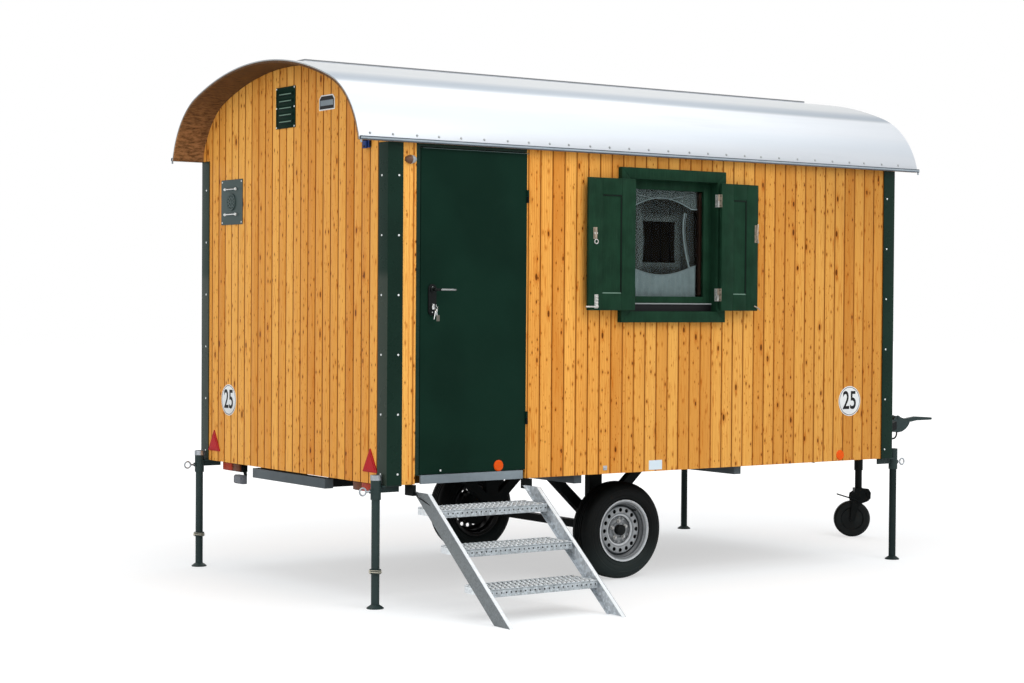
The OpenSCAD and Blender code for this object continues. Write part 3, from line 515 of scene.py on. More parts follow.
def wheel_paint(name, shade=1.0):
    """Silver wheel paint with painted highlights on the flange and the raised ring, painted shade down in the well, and
    painted glints in the bowl.
    """
    finish = Finish(name, Specular_IOR_Level=0.3)
    x, y, z = finish.split(finish.place)
    low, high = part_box("near_rim")
    across, up = x - (low.x + high.x) / 2, z - (low.z + high.z) / 2
    reach = (across * across + up * up).maths("SQRT")
    smudge_and_glint = finish.noise(38.0, 4.0, None, 0.7)
    # Tones by radius, and by depth on the barrel, are painted light and shade: bright where the pressing would catch
    # light, dark where it would lie in shade.
    rings = ((0.038, 150), (0.048, 96), (0.060, 150), (0.072, 100), (0.083, 84), (0.0875, 56), (0.0905, 196),
             (0.0985, 205), (0.1015, 120), (0.105, 132), (0.113, 158), (0.143, 150), (0.1475, 104), (0.151, 56))
    depth_light_and_shade = ((0.010, 215), (0.0150, 196), (0.0170, 120), (0.0195, 100), (0.0215, 196), (0.030, 176), (0.036, 124),
             (0.040, 84), (0.047, 124), (0.056, 96), (0.066, 50))
    middle = CORNER.y + WIDTH / 2
    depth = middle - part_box("near_tyre")[0].y - (y - middle).maths("ABSOLUTE")

    def ramp(tones, place, span):
        stops = [(r / span, toned(linear(tone, tone + 3, tone + 5), shade)) for r, tone in tones]
        return finish.node("ShaderNodeValToRGB", {"stops": stops}, {0: place / span})

    tone = ramp(rings, reach + (smudge_and_glint - 0.5) * 0.003, 0.2)
    tone = finish.mix(reach.step(0.1595, 0.1615), tone, ramp(depth_light_and_shade, depth + (smudge_and_glint - 0.5) * 0.001, 0.08))
    # Painted glints: bright patches in the bowl round the cap.
    bowl_glint_mask = reach.step(0.088, 0.084)
    tone = finish.mix(bowl_glint_mask * smudge_and_glint.step(0.50, 0.66) * 0.55, tone, toned(linear(205, 208, 208), shade))
    tone = finish.mix(smudge_and_glint.step(0.48, 0.30) * 0.5, tone, toned(linear(70, 72, 72), shade))
    finish.paint(tone, smudge_and_glint * 0.2 + 0.26, bump=smudge_and_glint, depth=0.0006, strength=0.3)


def rubber(name, level=0.008, rough=0.62, low_dust_and_light=0.0):
    """Black rubber, greyer where dust lies; a share of dust and painted light from the floor can make it lighter
    towards the bottom.
    """
    finish = Finish(name, Specular_IOR_Level=0.14)
    dust = finish.noise(9.0, 5.0, None, 0.65)
    grit = finish.noise(160.0, 2.0)
    black = (level * 0.7, level, level)
    grey = (level * 2.5 + 0.006, level * 2.5 + 0.0105, level * 2.5 + 0.0100)
    tone = finish.mix(dust.step(0.4, 0.85) * 0.5, black, grey)
    if low_dust_and_light:
        _, _, z = finish.split(finish.place)
        # Dust together with painted light from the floor: lighter towards the bottom.
        tone = finish.mix((z + dust * 0.10).step(0.34, 0.10) * low_dust_and_light, tone, linear(46, 55, 54))
    finish.paint(tone, dust * 0.2 + rough - 0.1, bump=grit, depth=0.0005, strength=0.35)


def plastic(name, colour):
    """Moulded plastic with a fine grain."""
    finish = Finish(name, Specular_IOR_Level=0.25)
    grain = finish.noise(600.0, 2.0)
    patch = finish.noise(14.0, 3.0)
    pale = toned(colour, 1.3, 0.008)
    tone = finish.mix(patch.step(0.45, 0.8) * 0.35, colour, pale)
    finish.paint(tone, grain * 0.1 + 0.4, bump=grain, depth=0.0003, strength=0.3)


def bright_steel(name, colour=(0.78, 0.78, 0.77), rough=0.2):
    """Polished or plated steel with hairline scratches."""
    finish = Finish(name)
    hair = finish.node(
        "ShaderNodeTexNoise", sockets={"Vector": finish.stretch(90.0, 900.0, 900.0), "Scale": 1.0, "Detail": 2.0}
    )
    patch = finish.noise(30.0, 3.0)
    deep = toned(colour, 0.7)
    tone = finish.mix(patch.step(0.4, 0.8) * 0.5, colour, deep)
    finish.paint(tone, hair * 0.16 + rough - 0.05, 1.0, bump=hair, depth=0.0001, strength=0.2)


def pane(name):
    """Thin window glass: clear, with reflections that grow towards grazing angles."""
    finish = Finish(name)
    smear = finish.noise(5.0, 3.0)
    tilt = finish.node("ShaderNodeLayerWeight", sockets={"Blend": 0.5}, out=1)
    facing = tilt.maths("POWER", 5.0) * 0.95 + 0.04
    clear = finish.node("ShaderNodeBsdfTransparent", sockets={"Color": (0.94, 0.97, 0.96)})
    gloss = finish.node("ShaderNodeBsdfGlossy", sockets={"Color": (1.0, 1.0, 1.0), "Roughness": 0.03})
    finish.show(facing * 0.07 + smear * 0.001, clear, gloss)


def lace(name, colour, cover=0.5, drawn=0.0):
    """Net curtain: crossing threads, a faint figure and more cloth where it is drawn to the left."""
    finish = Finish(name, Sheen_Weight=0.1)
    x, _, z = finish.split(finish.place)
    threads = (x * 1300.0).maths("SINE") * (z * 1300.0).maths("SINE") * 0.5 + 0.5
    figure = finish.noise(26.0, 2.0)
    grey = toned(colour, 0.7)
    tone = finish.mix(threads * 0.5, colour, grey)
    veil = figure.step(0.40, 0.62) * 0.06 + threads * 0.05 + (cover - 0.055)
    if drawn:
        edge = near_box("window_glass")[0].x + CORNER.x
        veil = veil + (x - edge).step(0.20, 0.06) * drawn
        middle, reach = at(2.0755, 0, 2.135), (0.1315, 0.127)
        beside = (x - middle.x).maths("ABSOLUTE") - reach[0]
        above = (z - middle.z).maths("ABSOLUTE") - reach[1]
        veil = veil + beside.maths("MAXIMUM", above).step(0.055, 0.02) * 0.14
    finish.paint(tone, 0.9, bump=threads, depth=0.0004, strength=0.3, alpha=veil)


def put(piece, name):
    """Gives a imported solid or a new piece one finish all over."""
    piece.data.materials.clear()
    piece.data.materials.append(bpy.data.materials[name])


def finish_piece(name, bm, finishes, stands_for=(), body="trailer", smooth=35.0):
    """Turns a mesh under construction into a piece that rides on a body."""
    mesh = bpy.data.meshes.new(name)
    bmesh.ops.recalc_face_normals(bm, faces=bm.faces)
    bm.to_mesh(mesh)
    bm.free()
    for each in [finishes] if isinstance(finishes, str) else finishes:
        mesh.materials.append(bpy.data.materials[each])
    if smooth:
        mesh.shade_smooth()
        mesh.set_sharp_from_angle(angle=math.radians(smooth))
    piece = bpy.data.objects.new(name, mesh)
    bpy.context.scene.collection.objects.link(piece)
    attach(piece, body)
    if stands_for:
        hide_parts(*stands_for)
    return piece


def turned(axis):
    """Matrix that turns +Z to an axis."""
    return Vector((0, 0, 1)).rotation_difference(Vector(axis)).to_matrix().to_4x4()


def faces_of(verts):
    """Faces whose corners are all among the given ones, in a steady order."""
    chosen = set(verts)
    return [f for f in dict.fromkeys(f for v in verts for f in v.link_faces) if chosen.issuperset(f.verts)]


def edges_of(verts):
    """Edges that meet the given corners, in a steady order."""
    return list(dict.fromkeys(e for v in verts for e in v.link_edges))


def soften(bm, edges, width, segments=2):
    """Rounds or chamfers some edges."""
    return bmesh.ops.bevel(
        bm, geom=edges, offset=width, segments=segments, affect="EDGES", profile=0.5, material=-1,
        clamp_overlap=True,
    )


def grow(bm, faces, push):
    """Pushes a sheet of faces out to a thickness; gives the new corners."""
    grown = bmesh.ops.extrude_face_region(bm, geom=faces)
    fresh = [g for g in grown["geom"] if isinstance(g, bmesh.types.BMVert)]
    bmesh.ops.translate(bm, verts=fresh, vec=Vector(push))
    return fresh


def tint(verts, index):
    """Gives the faces between some corners one of the piece's finishes."""
    for face in faces_of(verts):
        face.material_index = index


def block(bm, low, high, chamfer=0.0, segments=1, finish=0):
    """Box between two corners, with its edges rounded or chamfered."""
    low, high = Vector(low), Vector(high)
    place = Matrix.Translation((low + high) / 2) @ Matrix.Diagonal((*(high - low), 1))
    verts = bmesh.ops.create_cube(bm, size=1.0, matrix=place)["verts"]
    tint(verts, finish)
    if chamfer:
        soften(bm, edges_of(verts), chamfer, segments)


def rod(bm, start, end, radius, tip=None, segments=16, finish=0):
    """Round bar between two points, tapered where a tip radius is given."""
    start, end = Vector(start), Vector(end)
    axis = end - start
    place = Matrix.Translation((start + end) / 2) @ turned(axis.normalized())
    made = bmesh.ops.create_cone(
        bm, cap_ends=True, segments=segments, radius1=radius, radius2=radius if tip is None else tip,
        depth=axis.length, matrix=place,
    )
    tint(made["verts"], finish)


def ball(bm, centre, radius, squash=(1, 1, 1)):
    """Ball or flattened ball."""
    place = Matrix.Translation(centre) @ Matrix.Diagonal((*squash, 1))
    bmesh.ops.create_uvsphere(bm, u_segments=16, v_segments=8, radius=radius, matrix=place)


def lathe(bm, profile, centre, axis, segments=48, finish=0):
    """Turned shape: radius and height pairs spun about an axis through a centre."""
    place = Matrix.Translation(centre) @ turned(axis)
    verts = [bm.verts.new(place @ Vector((radius, 0, height))) for radius, height in profile]
    edges = [bm.edges.new(pair) for pair in zip(verts, verts[1:])]
    before = set(bm.faces)
    bmesh.ops.spin(
        bm, geom=verts + edges, cent=centre, axis=Vector(axis).normalized(), dvec=(0, 0, 0),
        angle=2 * math.pi, steps=segments, use_merge=True, use_duplicate=False,
    )
    new = [f for f in bm.faces if f not in before]
    for face in new:
        face.material_index = finish
    corners = list(dict.fromkeys(v for f in new for v in f.verts))
    bmesh.ops.remove_doubles(bm, verts=corners, dist=SAME_SPOT)


def ring(bm, centre, axis, radius, thick, segments, sides):
    """Round ring of round wire."""
    profile = [
        (radius + thick * math.cos(2 * math.pi * i / sides), thick * math.sin(2 * math.pi * i / sides))
        for i in range(sides + 1)
    ]
    lathe(bm, profile, centre, axis, segments)


def plate(bm, outline, push, finish=0):
    """Flat plate: an outline of points pushed to a thickness."""
    verts = [bm.verts.new(p) for p in outline]
    face = bm.faces.new(verts)
    verts += grow(bm, [face], push)
    tint(verts, finish)
    return verts


def pipe(bm, points, radius, sides=10):
    """Bent round bar through points, swept as a chain of turned sections."""
    points = [Vector(p) for p in points]
    rings = []
    for i, point in enumerate(points):
        way = (points[min(i + 1, len(points) - 1)] - points[max(i - 1, 0)]).normalized()
        made = bmesh.ops.create_circle(
            bm, cap_ends=False, segments=sides, radius=radius, matrix=Matrix.Translation(point) @ turned(way)
        )
        rings.append(made["verts"])
    for first, second in zip(rings, rings[1:]):
        open_edges = [e for e in edges_of(first + second) if len(e.link_faces) < 2]
        loops = [e for e in open_edges if set(e.verts) <= set(first) or set(e.verts) <= set(second)]
        bmesh.ops.bridge_loops(bm, edges=loops)
    for verts in (rings[0], rings[-1]):
        bmesh.ops.holes_fill(bm, edges=[e for e in edges_of(verts) if len(e.link_faces) == 1])


def sizes():
    """The sizes that the sidebar shows."""
    return bpy.context.scene.trailer_sizes


def arch_height(y, inset):
    """Height of the roof arch at a distance from the door side, inset from its outer face."""
    laid = sizes()
    half, spring, rise = arch_frame()
    out = abs(y - WIDTH / 2)
    shoulder = half - laid.shoulder_radius
    crown = spring + rise - laid.crown_radius
    if out < (laid.crown_radius - inset) * math.sin(arch_turn()):
        return crown + math.sqrt((laid.crown_radius - inset) ** 2 - out ** 2)
    return spring + math.sqrt(max(0.0, (laid.shoulder_radius - inset) ** 2 - (out - shoulder) ** 2))


def arch_frame():
    """Half width, springing height and rise of the roof arch."""
    low, high = near_box("roof_sheet")
    spring = EAVE_Z - sizes().spring_drop
    eave_reach = math.sqrt(sizes().shoulder_radius ** 2 - sizes().spring_drop ** 2)
    half = (high.y - low.y) / 2 - eave_reach + sizes().shoulder_radius
    return half, spring, high.z - spring


def arch_turn():
    """Angle off the vertical at which the shoulders meet the crown."""
    half, _, rise = arch_frame()
    shoulder = half - sizes().shoulder_radius
    return math.atan2(shoulder, sizes().crown_radius - rise)


def arch_band(bm, inset, thick, start, end):
    """Curved board or sheet of the roof between two distances from the rear wall."""
    laid = sizes()
    half, spring, rise = arch_frame()
    turn = arch_turn()
    shoulder = half - laid.shoulder_radius
    crown = spring + rise - laid.crown_radius
    middle = WIDTH / 2
    eave = math.acos(laid.spring_drop / (laid.shoulder_radius - inset - thick))
    radii = [laid.shoulder_radius - inset, laid.shoulder_radius - inset - thick]
    verts = [
        bm.verts.new(at(start, middle - shoulder - r * math.sin(eave), spring + r * math.cos(eave))) for r in radii
    ]
    last = [*verts, bm.edges.new(verts)]
    before = set(bm.faces)
    for side, height, angle, steps in (
        (-shoulder, spring, eave - turn, 24), (0.0, crown, 2 * turn, 72), (shoulder, spring, eave - turn, 24)
    ):
        spun = bmesh.ops.spin(
            bm, geom=last, cent=at(0, middle + side, height), axis=(1, 0, 0), dvec=(0, 0, 0), angle=-angle,
            steps=steps, use_merge=False, use_duplicate=False,
        )
        last = spun["geom_last"]
    grow(bm, [f for f in bm.faces if f not in before], (end - start, 0, 0))


def boards(bm, axis, edges, low, top, face, back, finish=0):
    """Upright boards between edges along X (axis 0) or Y (axis 1), chamfered on the face side."""
    groove = sizes().groove
    for start, end in zip(edges, edges[1:]):
        if end - start < NARROWEST_BOARD:
            continue
        middle = (start + end) / 2
        outline = [(start, low), (end, low), (end, top(end)), (middle, top(middle)), (start, top(start))]
        points = [at(a, face, z) if axis == 0 else at(face, a, z) for a, z in outline]
        push = (0, back - face, 0) if axis == 0 else (back - face, 0, 0)
        verts = plate(bm, points, push, finish)
        front = points[0][1 - axis]
        upright = [
            e for e in edges_of(verts)
            if all(abs(v.co[1 - axis] - front) < NO_GAP for v in e.verts)
            and abs(e.verts[0].co[axis] - e.verts[1].co[axis]) < NO_GAP
        ]
        soften(bm, upright, min(groove, (end - start) * 0.3))


def joints(start, pitch, low, high):
    """Edges of the boards that cover a wall between two distances."""
    first = math.ceil((low - start) / pitch)
    last = math.floor((high - start) / pitch)
    inner = [start + pitch * k for k in range(first, last + 1)]
    return sorted({low, high, *[j for j in inner if low + NARROWEST_BOARD < j < high - NARROWEST_BOARD]})


def dome(bm, place, out, radius=0.007, finish=0):
    """Domed screw or rivet head on a surface that faces out."""
    matrix = Matrix.Translation(place) @ turned(out) @ Matrix.Diagonal((1, 1, 0.45, 1))
    made = bmesh.ops.create_uvsphere(bm, u_segments=10, v_segments=6, radius=radius, matrix=matrix)
    tint(made["verts"], finish)


# Plain finishes by kind: a screen colour and the kind's own looks
PLAIN_FINISHES = (
    # Size of the zinc's grains, share of metal, roughness, contrast
    (zinc, {
        "Eave Zinc": ((158, 168, 175), 20.0, 0.3, 0.5, 0.08), "Warm Steel": ((172, 156, 138), 90.0, 0.4, 0.35, 0.25),
        "Bright Zinc": ((202, 200, 194), 90.0, 0.35, 0.35, 0.3), "Tread Zinc": ((242, 246, 249), 70.0, 0.3, 0.45, 0.14),
        "Channel Zinc": ((204, 210, 215), 60.0, 0.25, 0.4, 0.3), "Web Zinc": ((122, 127, 129), 120.0, 0.25, 0.5, 0.2),
        "Flange Zinc": ((220, 224, 226), 30.0, 0.2, 0.45, 0.06), "Lip Zinc": ((184, 191, 195), 90.0, 0.3, 0.5, 0.3),
    }),
    # Roughness, depth of the dents, dust, shine
    (enamel, {
        "Cast Grey": ((54, 66, 66), 0.4, 0.05, 0.3, 0.08), "Tread Shade": ((70, 75, 78), 0.6, 0.05, 0.2),
        "Sill Grey": ((132, 142, 148), 0.4, 0.1, 0.3), "Beam Grey": ((84, 92, 96), 0.4, 0.1, 0.3),
        "Seam Grey": ((84, 92, 100), 0.45, 0.05, 0.2), "Shutter Shade": ((8, 22, 15), 0.5, 0.05, 0.1),
        "Shutter Edge": ((112, 140, 124), 0.4, 0.05, 0.1), "Brown Strip": ((44, 28, 22), 0.5, 0.05, 0.1, 0.05),
        "Verge Grey": ((160, 163, 163), 0.4, 0.05, 0.2), "Plate Grey": ((70, 84, 82), 0.4, 0.05, 0.2),
        "White Enamel": ((236, 237, 236), 0.3, 0.02, 0.02), "Label White": ((212, 225, 233), 0.3, 0.02, 0.02),
        "Print Black": ((22, 22, 24), 0.4, 0.02, 0.05),
    }),
    (plastic, {
        "Blue Plastic": ((14, 46, 106),), "Bone": ((190, 184, 166),), "White Plastic": ((226, 228, 226),),
        "Key Tag": ((96, 92, 84),),
    }),
    (lens, {
        "Amber Lens": ((176, 56, 30),), "Brown Lens": ((104, 58, 36),), "Marker Lens": ((116, 84, 66),),
        "Lamp Grey": ((124, 126, 132),),
    }),
    # Cover of the cloth, and the cover added where it is drawn to the left
    (lace, {
        "Net": ((124, 131, 131), 0.12, 0.26), "Lace": ((128, 137, 138), 0.46), "Cafe Lace": ((150, 162, 166), 0.58),
        "Hem": ((136, 144, 146), 0.60),
    }),
)

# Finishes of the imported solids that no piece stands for
WORN_BY_SOLIDS = {
    "Floor Pine": ("floor",),
    "Green Enamel": ("door_head", "door_frame"),
    "Door Enamel": ("door_leaf",),
    "Sill Grey": ("door_sill",),
    "Pane": ("window_glass",),
    "Ridge Sheet": ("ridge_strip",),
    "Bright Zinc": ("shutter_hinges",),
    "Zinc": ("leg_clamps",),
    "Plate Grey": ("flue_plate",),
    "Cast Grey": ("coupling_handle",),
    "Black Plastic": ("lock_plate", "jockey_wheel"),
    "Leg Enamel": ("leg_sleeves", "rear_near_leg", "rear_far_leg"),
    "Dark Leg Enamel": ("front_near_leg", "front_far_leg"),
    "Chassis Paint": (
        "door_hinges", "chassis_rails", "drawbar_beams", "axle_beam", "axle_stands", "step_hooks", "jockey_outer_tube",
        "jockey_inner_tube", "jockey_fork",
    ),
}


class TRAILER_OT_finishes(bpy.types.Operator):
    """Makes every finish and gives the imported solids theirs"""

    bl_idname = "trailer.finishes"
    bl_label = "Finishes"

    def execute(self, context):
        colours = context.scene.trailer_colours
        laid = sizes()
        pine = (tuple(colours.pine), tuple(colours.pine_dark), tuple(colours.knot))
        side = (0, CORNER.x + laid.side_start, laid.board_pitch)
        end = (1, CORNER.y + laid.end_start, laid.end_pitch)
        floor = (1, CORNER.y + laid.end_start, laid.end_pitch * 1.5)
        # The linings inside are the same pine brought down to a twentieth, as painted shade inside the cabin.
        for name, run, shade in (
            ("Side Pine", side, 1.0), ("End Pine", end, 0.96), ("Lining Side", side, 0.05), ("Lining End", end, 0.05),
            ("Floor Pine", floor, 0.12),
        ):
            pine_boards(name, *run, pine, shade)
        stained_boards("Roof Stain", tuple(colours.stain))
        enamel("Green Enamel", tuple(colours.green), 0.26, 0.4)
        # The trims' film colour is a painted pale reflection low on their rear faces.
        enamel("Trim Enamel", toned(colours.green, 0.9), 0.26, 0.4, shine=0.1, film=linear(56, 64, 56))
        enamel("Door Enamel", toned(colours.green, 0.92), 0.36, 0.12, 0.06, 0.03)
        enamel("Chassis Paint", tuple(colours.black), 0.42, 0.1, 0.3, 0.06)
        enamel("Leg Enamel", tuple(colours.leg), 0.34, 0.05, 0.3)
        enamel("Dark Leg Enamel", toned(colours.leg, 0.5), 0.34, 0.05, 0.3, 0.08)
        brushed_paint("Shutter Paint", tuple(colours.shutter))
        roof_metal("Roof Sheet", tuple(colours.roof))
        ridge_metal("Ridge Sheet", tuple(colours.roof))
        zinc("Zinc", tuple(colours.zinc))
        silver = colours.wheel[0] / linear(140, 0, 0)[0]
        wheel_paint("Wheel Silver", silver)
        # The far wheel is the same paint brought down to a tenth, as painted shade.
        wheel_paint("Wheel Shaded", 0.10 * silver)
        rubber("Tyre Rubber", 0.0018, low_dust_and_light=0.6)
        rubber("Black Plastic", 0.0045, 0.42)
        bright_steel("Steel")
        bright_steel("Dull Steel", (0.5, 0.5, 0.49), 0.38)
        bright_steel("Lever Steel", (0.27, 0.28, 0.28), 0.42)
        lens("Red Lens", tuple(colours.red))
        lens("Orange Lens", tuple(colours.orange))
        pane("Pane")
        for make, kinds in PLAIN_FINISHES:
            for name, (tone, *looks) in kinds.items():
                make(name, linear(*tone), *looks)
        for name, nodes in WORN_BY_SOLIDS.items():
            for node in nodes:
                put(SOLIDS[node], name)
        return {"FINISHED"}


def blocks(bm, rows):
    """Boxes in distances from the rear corner: each row holds two corners, then the other settings of block."""
    for low, high, *settings in rows:
        block(bm, at(*low), at(*high), *settings)


def domes(bm, xs, ys, zs, out, radius):
    """Screw heads wherever the given distances cross."""
    for spot in itertools.product(xs, ys, zs):
        dome(bm, at(*spot), out, radius)


class TRAILER_OT_walls(bpy.types.Operator):
    """Boards the walls outside and lines them inside"""

    bl_idname = "trailer.walls"
    bl_label = "Walls"

    def execute(self, context):
        laid = sizes()
        depth = laid.board_depth
        under_roof = laid.roof_sheet + laid.roof_boards + 0.0006
        lining_shift, corner_gap, post_joint = 0.03, 0.001, 0.142

        def arch_top(y):
            return arch_height(y if 0 < y < WIDTH else 0.0, under_roof)

        def flat_top(y):
            height = arch_height(y, under_roof)
            return lambda x: height

        def span(start, end):
            return joints(laid.side_start, laid.board_pitch, start, end)

        edges = joints(laid.end_start, laid.end_pitch, 0.0, WIDTH)
        lining = joints(laid.end_start + lining_shift, laid.end_pitch, WALL, WIDTH - WALL)
        for end, face, inward in (("rear", 0.0, 1), ("front", LENGTH, -1)):
            bm = bmesh.new()
            back = face + inward * depth
            boards(bm, 1, edges, FLOOR_Z, arch_top, face, back)
            boards(bm, 1, lining, FLOOR_Z, arch_top, face + inward * WALL, back, 1)
            finish_piece(end + "_boards", bm, ["End Pine", "Lining End"], (end + "_wall",))

        post_low, post_high = near_box("door_post_wall")
        low, high = near_box("window_wall")
        sash_low, sash_high = near_box("window_sash")
        inset = depth + corner_gap
        far_back = WIDTH - depth
        far = [
            (span(WALL, LENGTH - WALL), FLOOR_Z, flat_top(WIDTH), WIDTH, far_back),
            (span(inset, LENGTH - inset), FLOOR_Z, flat_top(far_back), WIDTH - WALL, far_back, 1),
        ]
        post, window = [], []
        for face, under, finish in ((0.0, 0.0, 0), (WALL, depth, 1)):
            place = (face, depth, finish)
            top = flat_top(under)
            beside_window = span(sash_low.x, sash_high.x)
            post.append(([post_low.x, post_joint, post_high.x], FLOOR_Z, top, *place))
            window += [
                (span(low.x, sash_low.x), FLOOR_Z, top, *place), (span(sash_high.x, high.x), FLOOR_Z, top, *place),
                (beside_window, FLOOR_Z, lambda x: sash_low.z, *place), (beside_window, sash_high.z, top, *place),
            ]
        for name, node, runs in (
            ("far_boards", "far_wall", far), ("door_post_boards", "door_post_wall", post),
            ("window_wall_boards", "window_wall", window),
        ):
            bm = bmesh.new()
            for run in runs:
                boards(bm, 0, *run)
            finish_piece(name, bm, ["Side Pine", "Lining Side"], (node,))
        return {"FINISHED"}


class TRAILER_OT_roof(bpy.types.Operator):
    """Bends the roof sheet and its boards over the cabin, with the bars and screws along the eaves"""

    bl_idname = "trailer.roof"
    bl_label = "Roof"

    def execute(self, context):
        laid = sizes()
        low, high = near_box("roof_sheet")
        verge = 0.0016
        fold = laid.roof_boards * 0.3
        sheet, soffit, folds = bmesh.new(), bmesh.new(), bmesh.new()
        arch_band(sheet, 0.0, laid.roof_sheet, low.x, high.x)
        arch_band(soffit, laid.roof_sheet, laid.roof_boards, low.x + verge, high.x - verge)
        for start, end in ((low.x, low.x + verge), (high.x - verge, high.x)):
            arch_band(soffit, laid.roof_sheet + fold, laid.roof_boards * 0.7, start, end)
            arch_band(folds, laid.roof_sheet, fold, start, end)
        finish_piece("roof_skin", sheet, "Roof Sheet", ("roof_sheet",), smooth=25.0)
        finish_piece("soffit", soffit, "Roof Stain", ("roof_boards",), smooth=25.0)
        finish_piece("verge_folds", folds, "Verge Grey", smooth=25.0)

        bar_low, bar_high = near_box("eave_bars")
        thick = low.y - bar_low.y
        bm = bmesh.new()
        for a, b in ((bar_low.y, low.y), (high.y, bar_high.y)):
            # Painted shade: grey strips above and below the bar's middle band stand for the shade in the groove under
            # the roof edge and under the bar.
            blocks(bm, (
                ((low.x, a + 0.0012, bar_low.z), (high.x, b - 0.0012, bar_high.z), 0.001, 1, 1),
                ((low.x, a, bar_low.z + 0.0055), (high.x, b, bar_high.z - 0.006), 0.001),
            ))
            for x in (low.x + 0.006, high.x - 0.006):
                foot = at(x, (a + b) / 2, bar_low.z - 0.012)
                rod(bm, foot, at(x, (a + b) / 2, bar_high.z - 0.004), thick * 0.3)
                ball(bm, foot, thick * 0.34)
        finish_piece("eave_rails", bm, ["Eave Zinc", "Seam Grey"], ("eave_bars",))

        half, spring, _ = arch_frame()
        screw_z = bar_high.z + 0.02
        screw_rise = screw_z - spring
        shoulder = half - laid.shoulder_radius
        reach = math.sqrt(laid.shoulder_radius ** 2 - screw_rise ** 2)
        luck = random.Random(4)
        bm = bmesh.new()
        for side in (-1, 1):
            for i in range(int((high.x - low.x) / laid.eave_screw_pitch)):
                x = 0.026 + laid.eave_screw_pitch * (i - 1) + luck.uniform(-0.012, 0.012)
                if low.x + 0.02 < x < high.x - 0.02:
                    spot = at(x, WIDTH / 2 + side * (shoulder + reach), screw_z)
                    dome(bm, spot, (0, side * reach, screw_rise), 0.008)
        finish_piece("eave_screws", bm, "Verge Grey")
        return {"FINISHED"}


class TRAILER_OT_trims(bpy.types.Operator):
    """Folds the four corner trims and screws them on"""

    bl_idname = "trailer.trims"
    bl_label = "Corner Trims"

    def execute(self, context):
        low, high = near_box("corner_trims")
        leg = near_box("door_post_wall")[0].x + 0.046
        thick = -low.x
        first_screw, screw_rows = 0.762, 6
        outline = [(-thick, -thick), (leg, -thick), (leg, 0), (0, 0), (0, leg), (-thick, leg)]
        bm, screws = bmesh.new(), bmesh.new()
        for end, side in itertools.product((0, 1), (0, 1)):
            def spot(x, y, z, end=end, side=side):
                return at(LENGTH - x if end else x, WIDTH - y if side else y, z)

            verts = plate(bm, [spot(x, y, low.z) for x, y in outline], (0, 0, high.z - low.z))
            corner = spot(-thick, -thick, 0)
            sharp = [e for e in edges_of(verts) if all((v.co - corner).xy.length < NO_GAP for v in e.verts)]
            soften(bm, sharp, 0.004, 4)
            for i in range(screw_rows):
                z = first_screw + sizes().trim_screw_pitch * i
                dome(screws, spot(0.068, -thick, z), (0, 1 if side else -1, 0), 0.0065)
                dome(screws, spot(-thick, 0.060, z), (1 if end else -1, 0, 0), 0.0065)
        finish_piece("corner_angles", bm, "Trim Enamel", ("corner_trims",))
        finish_piece("trim_screws", screws, "White Plastic")
        return {"FINISHED"}


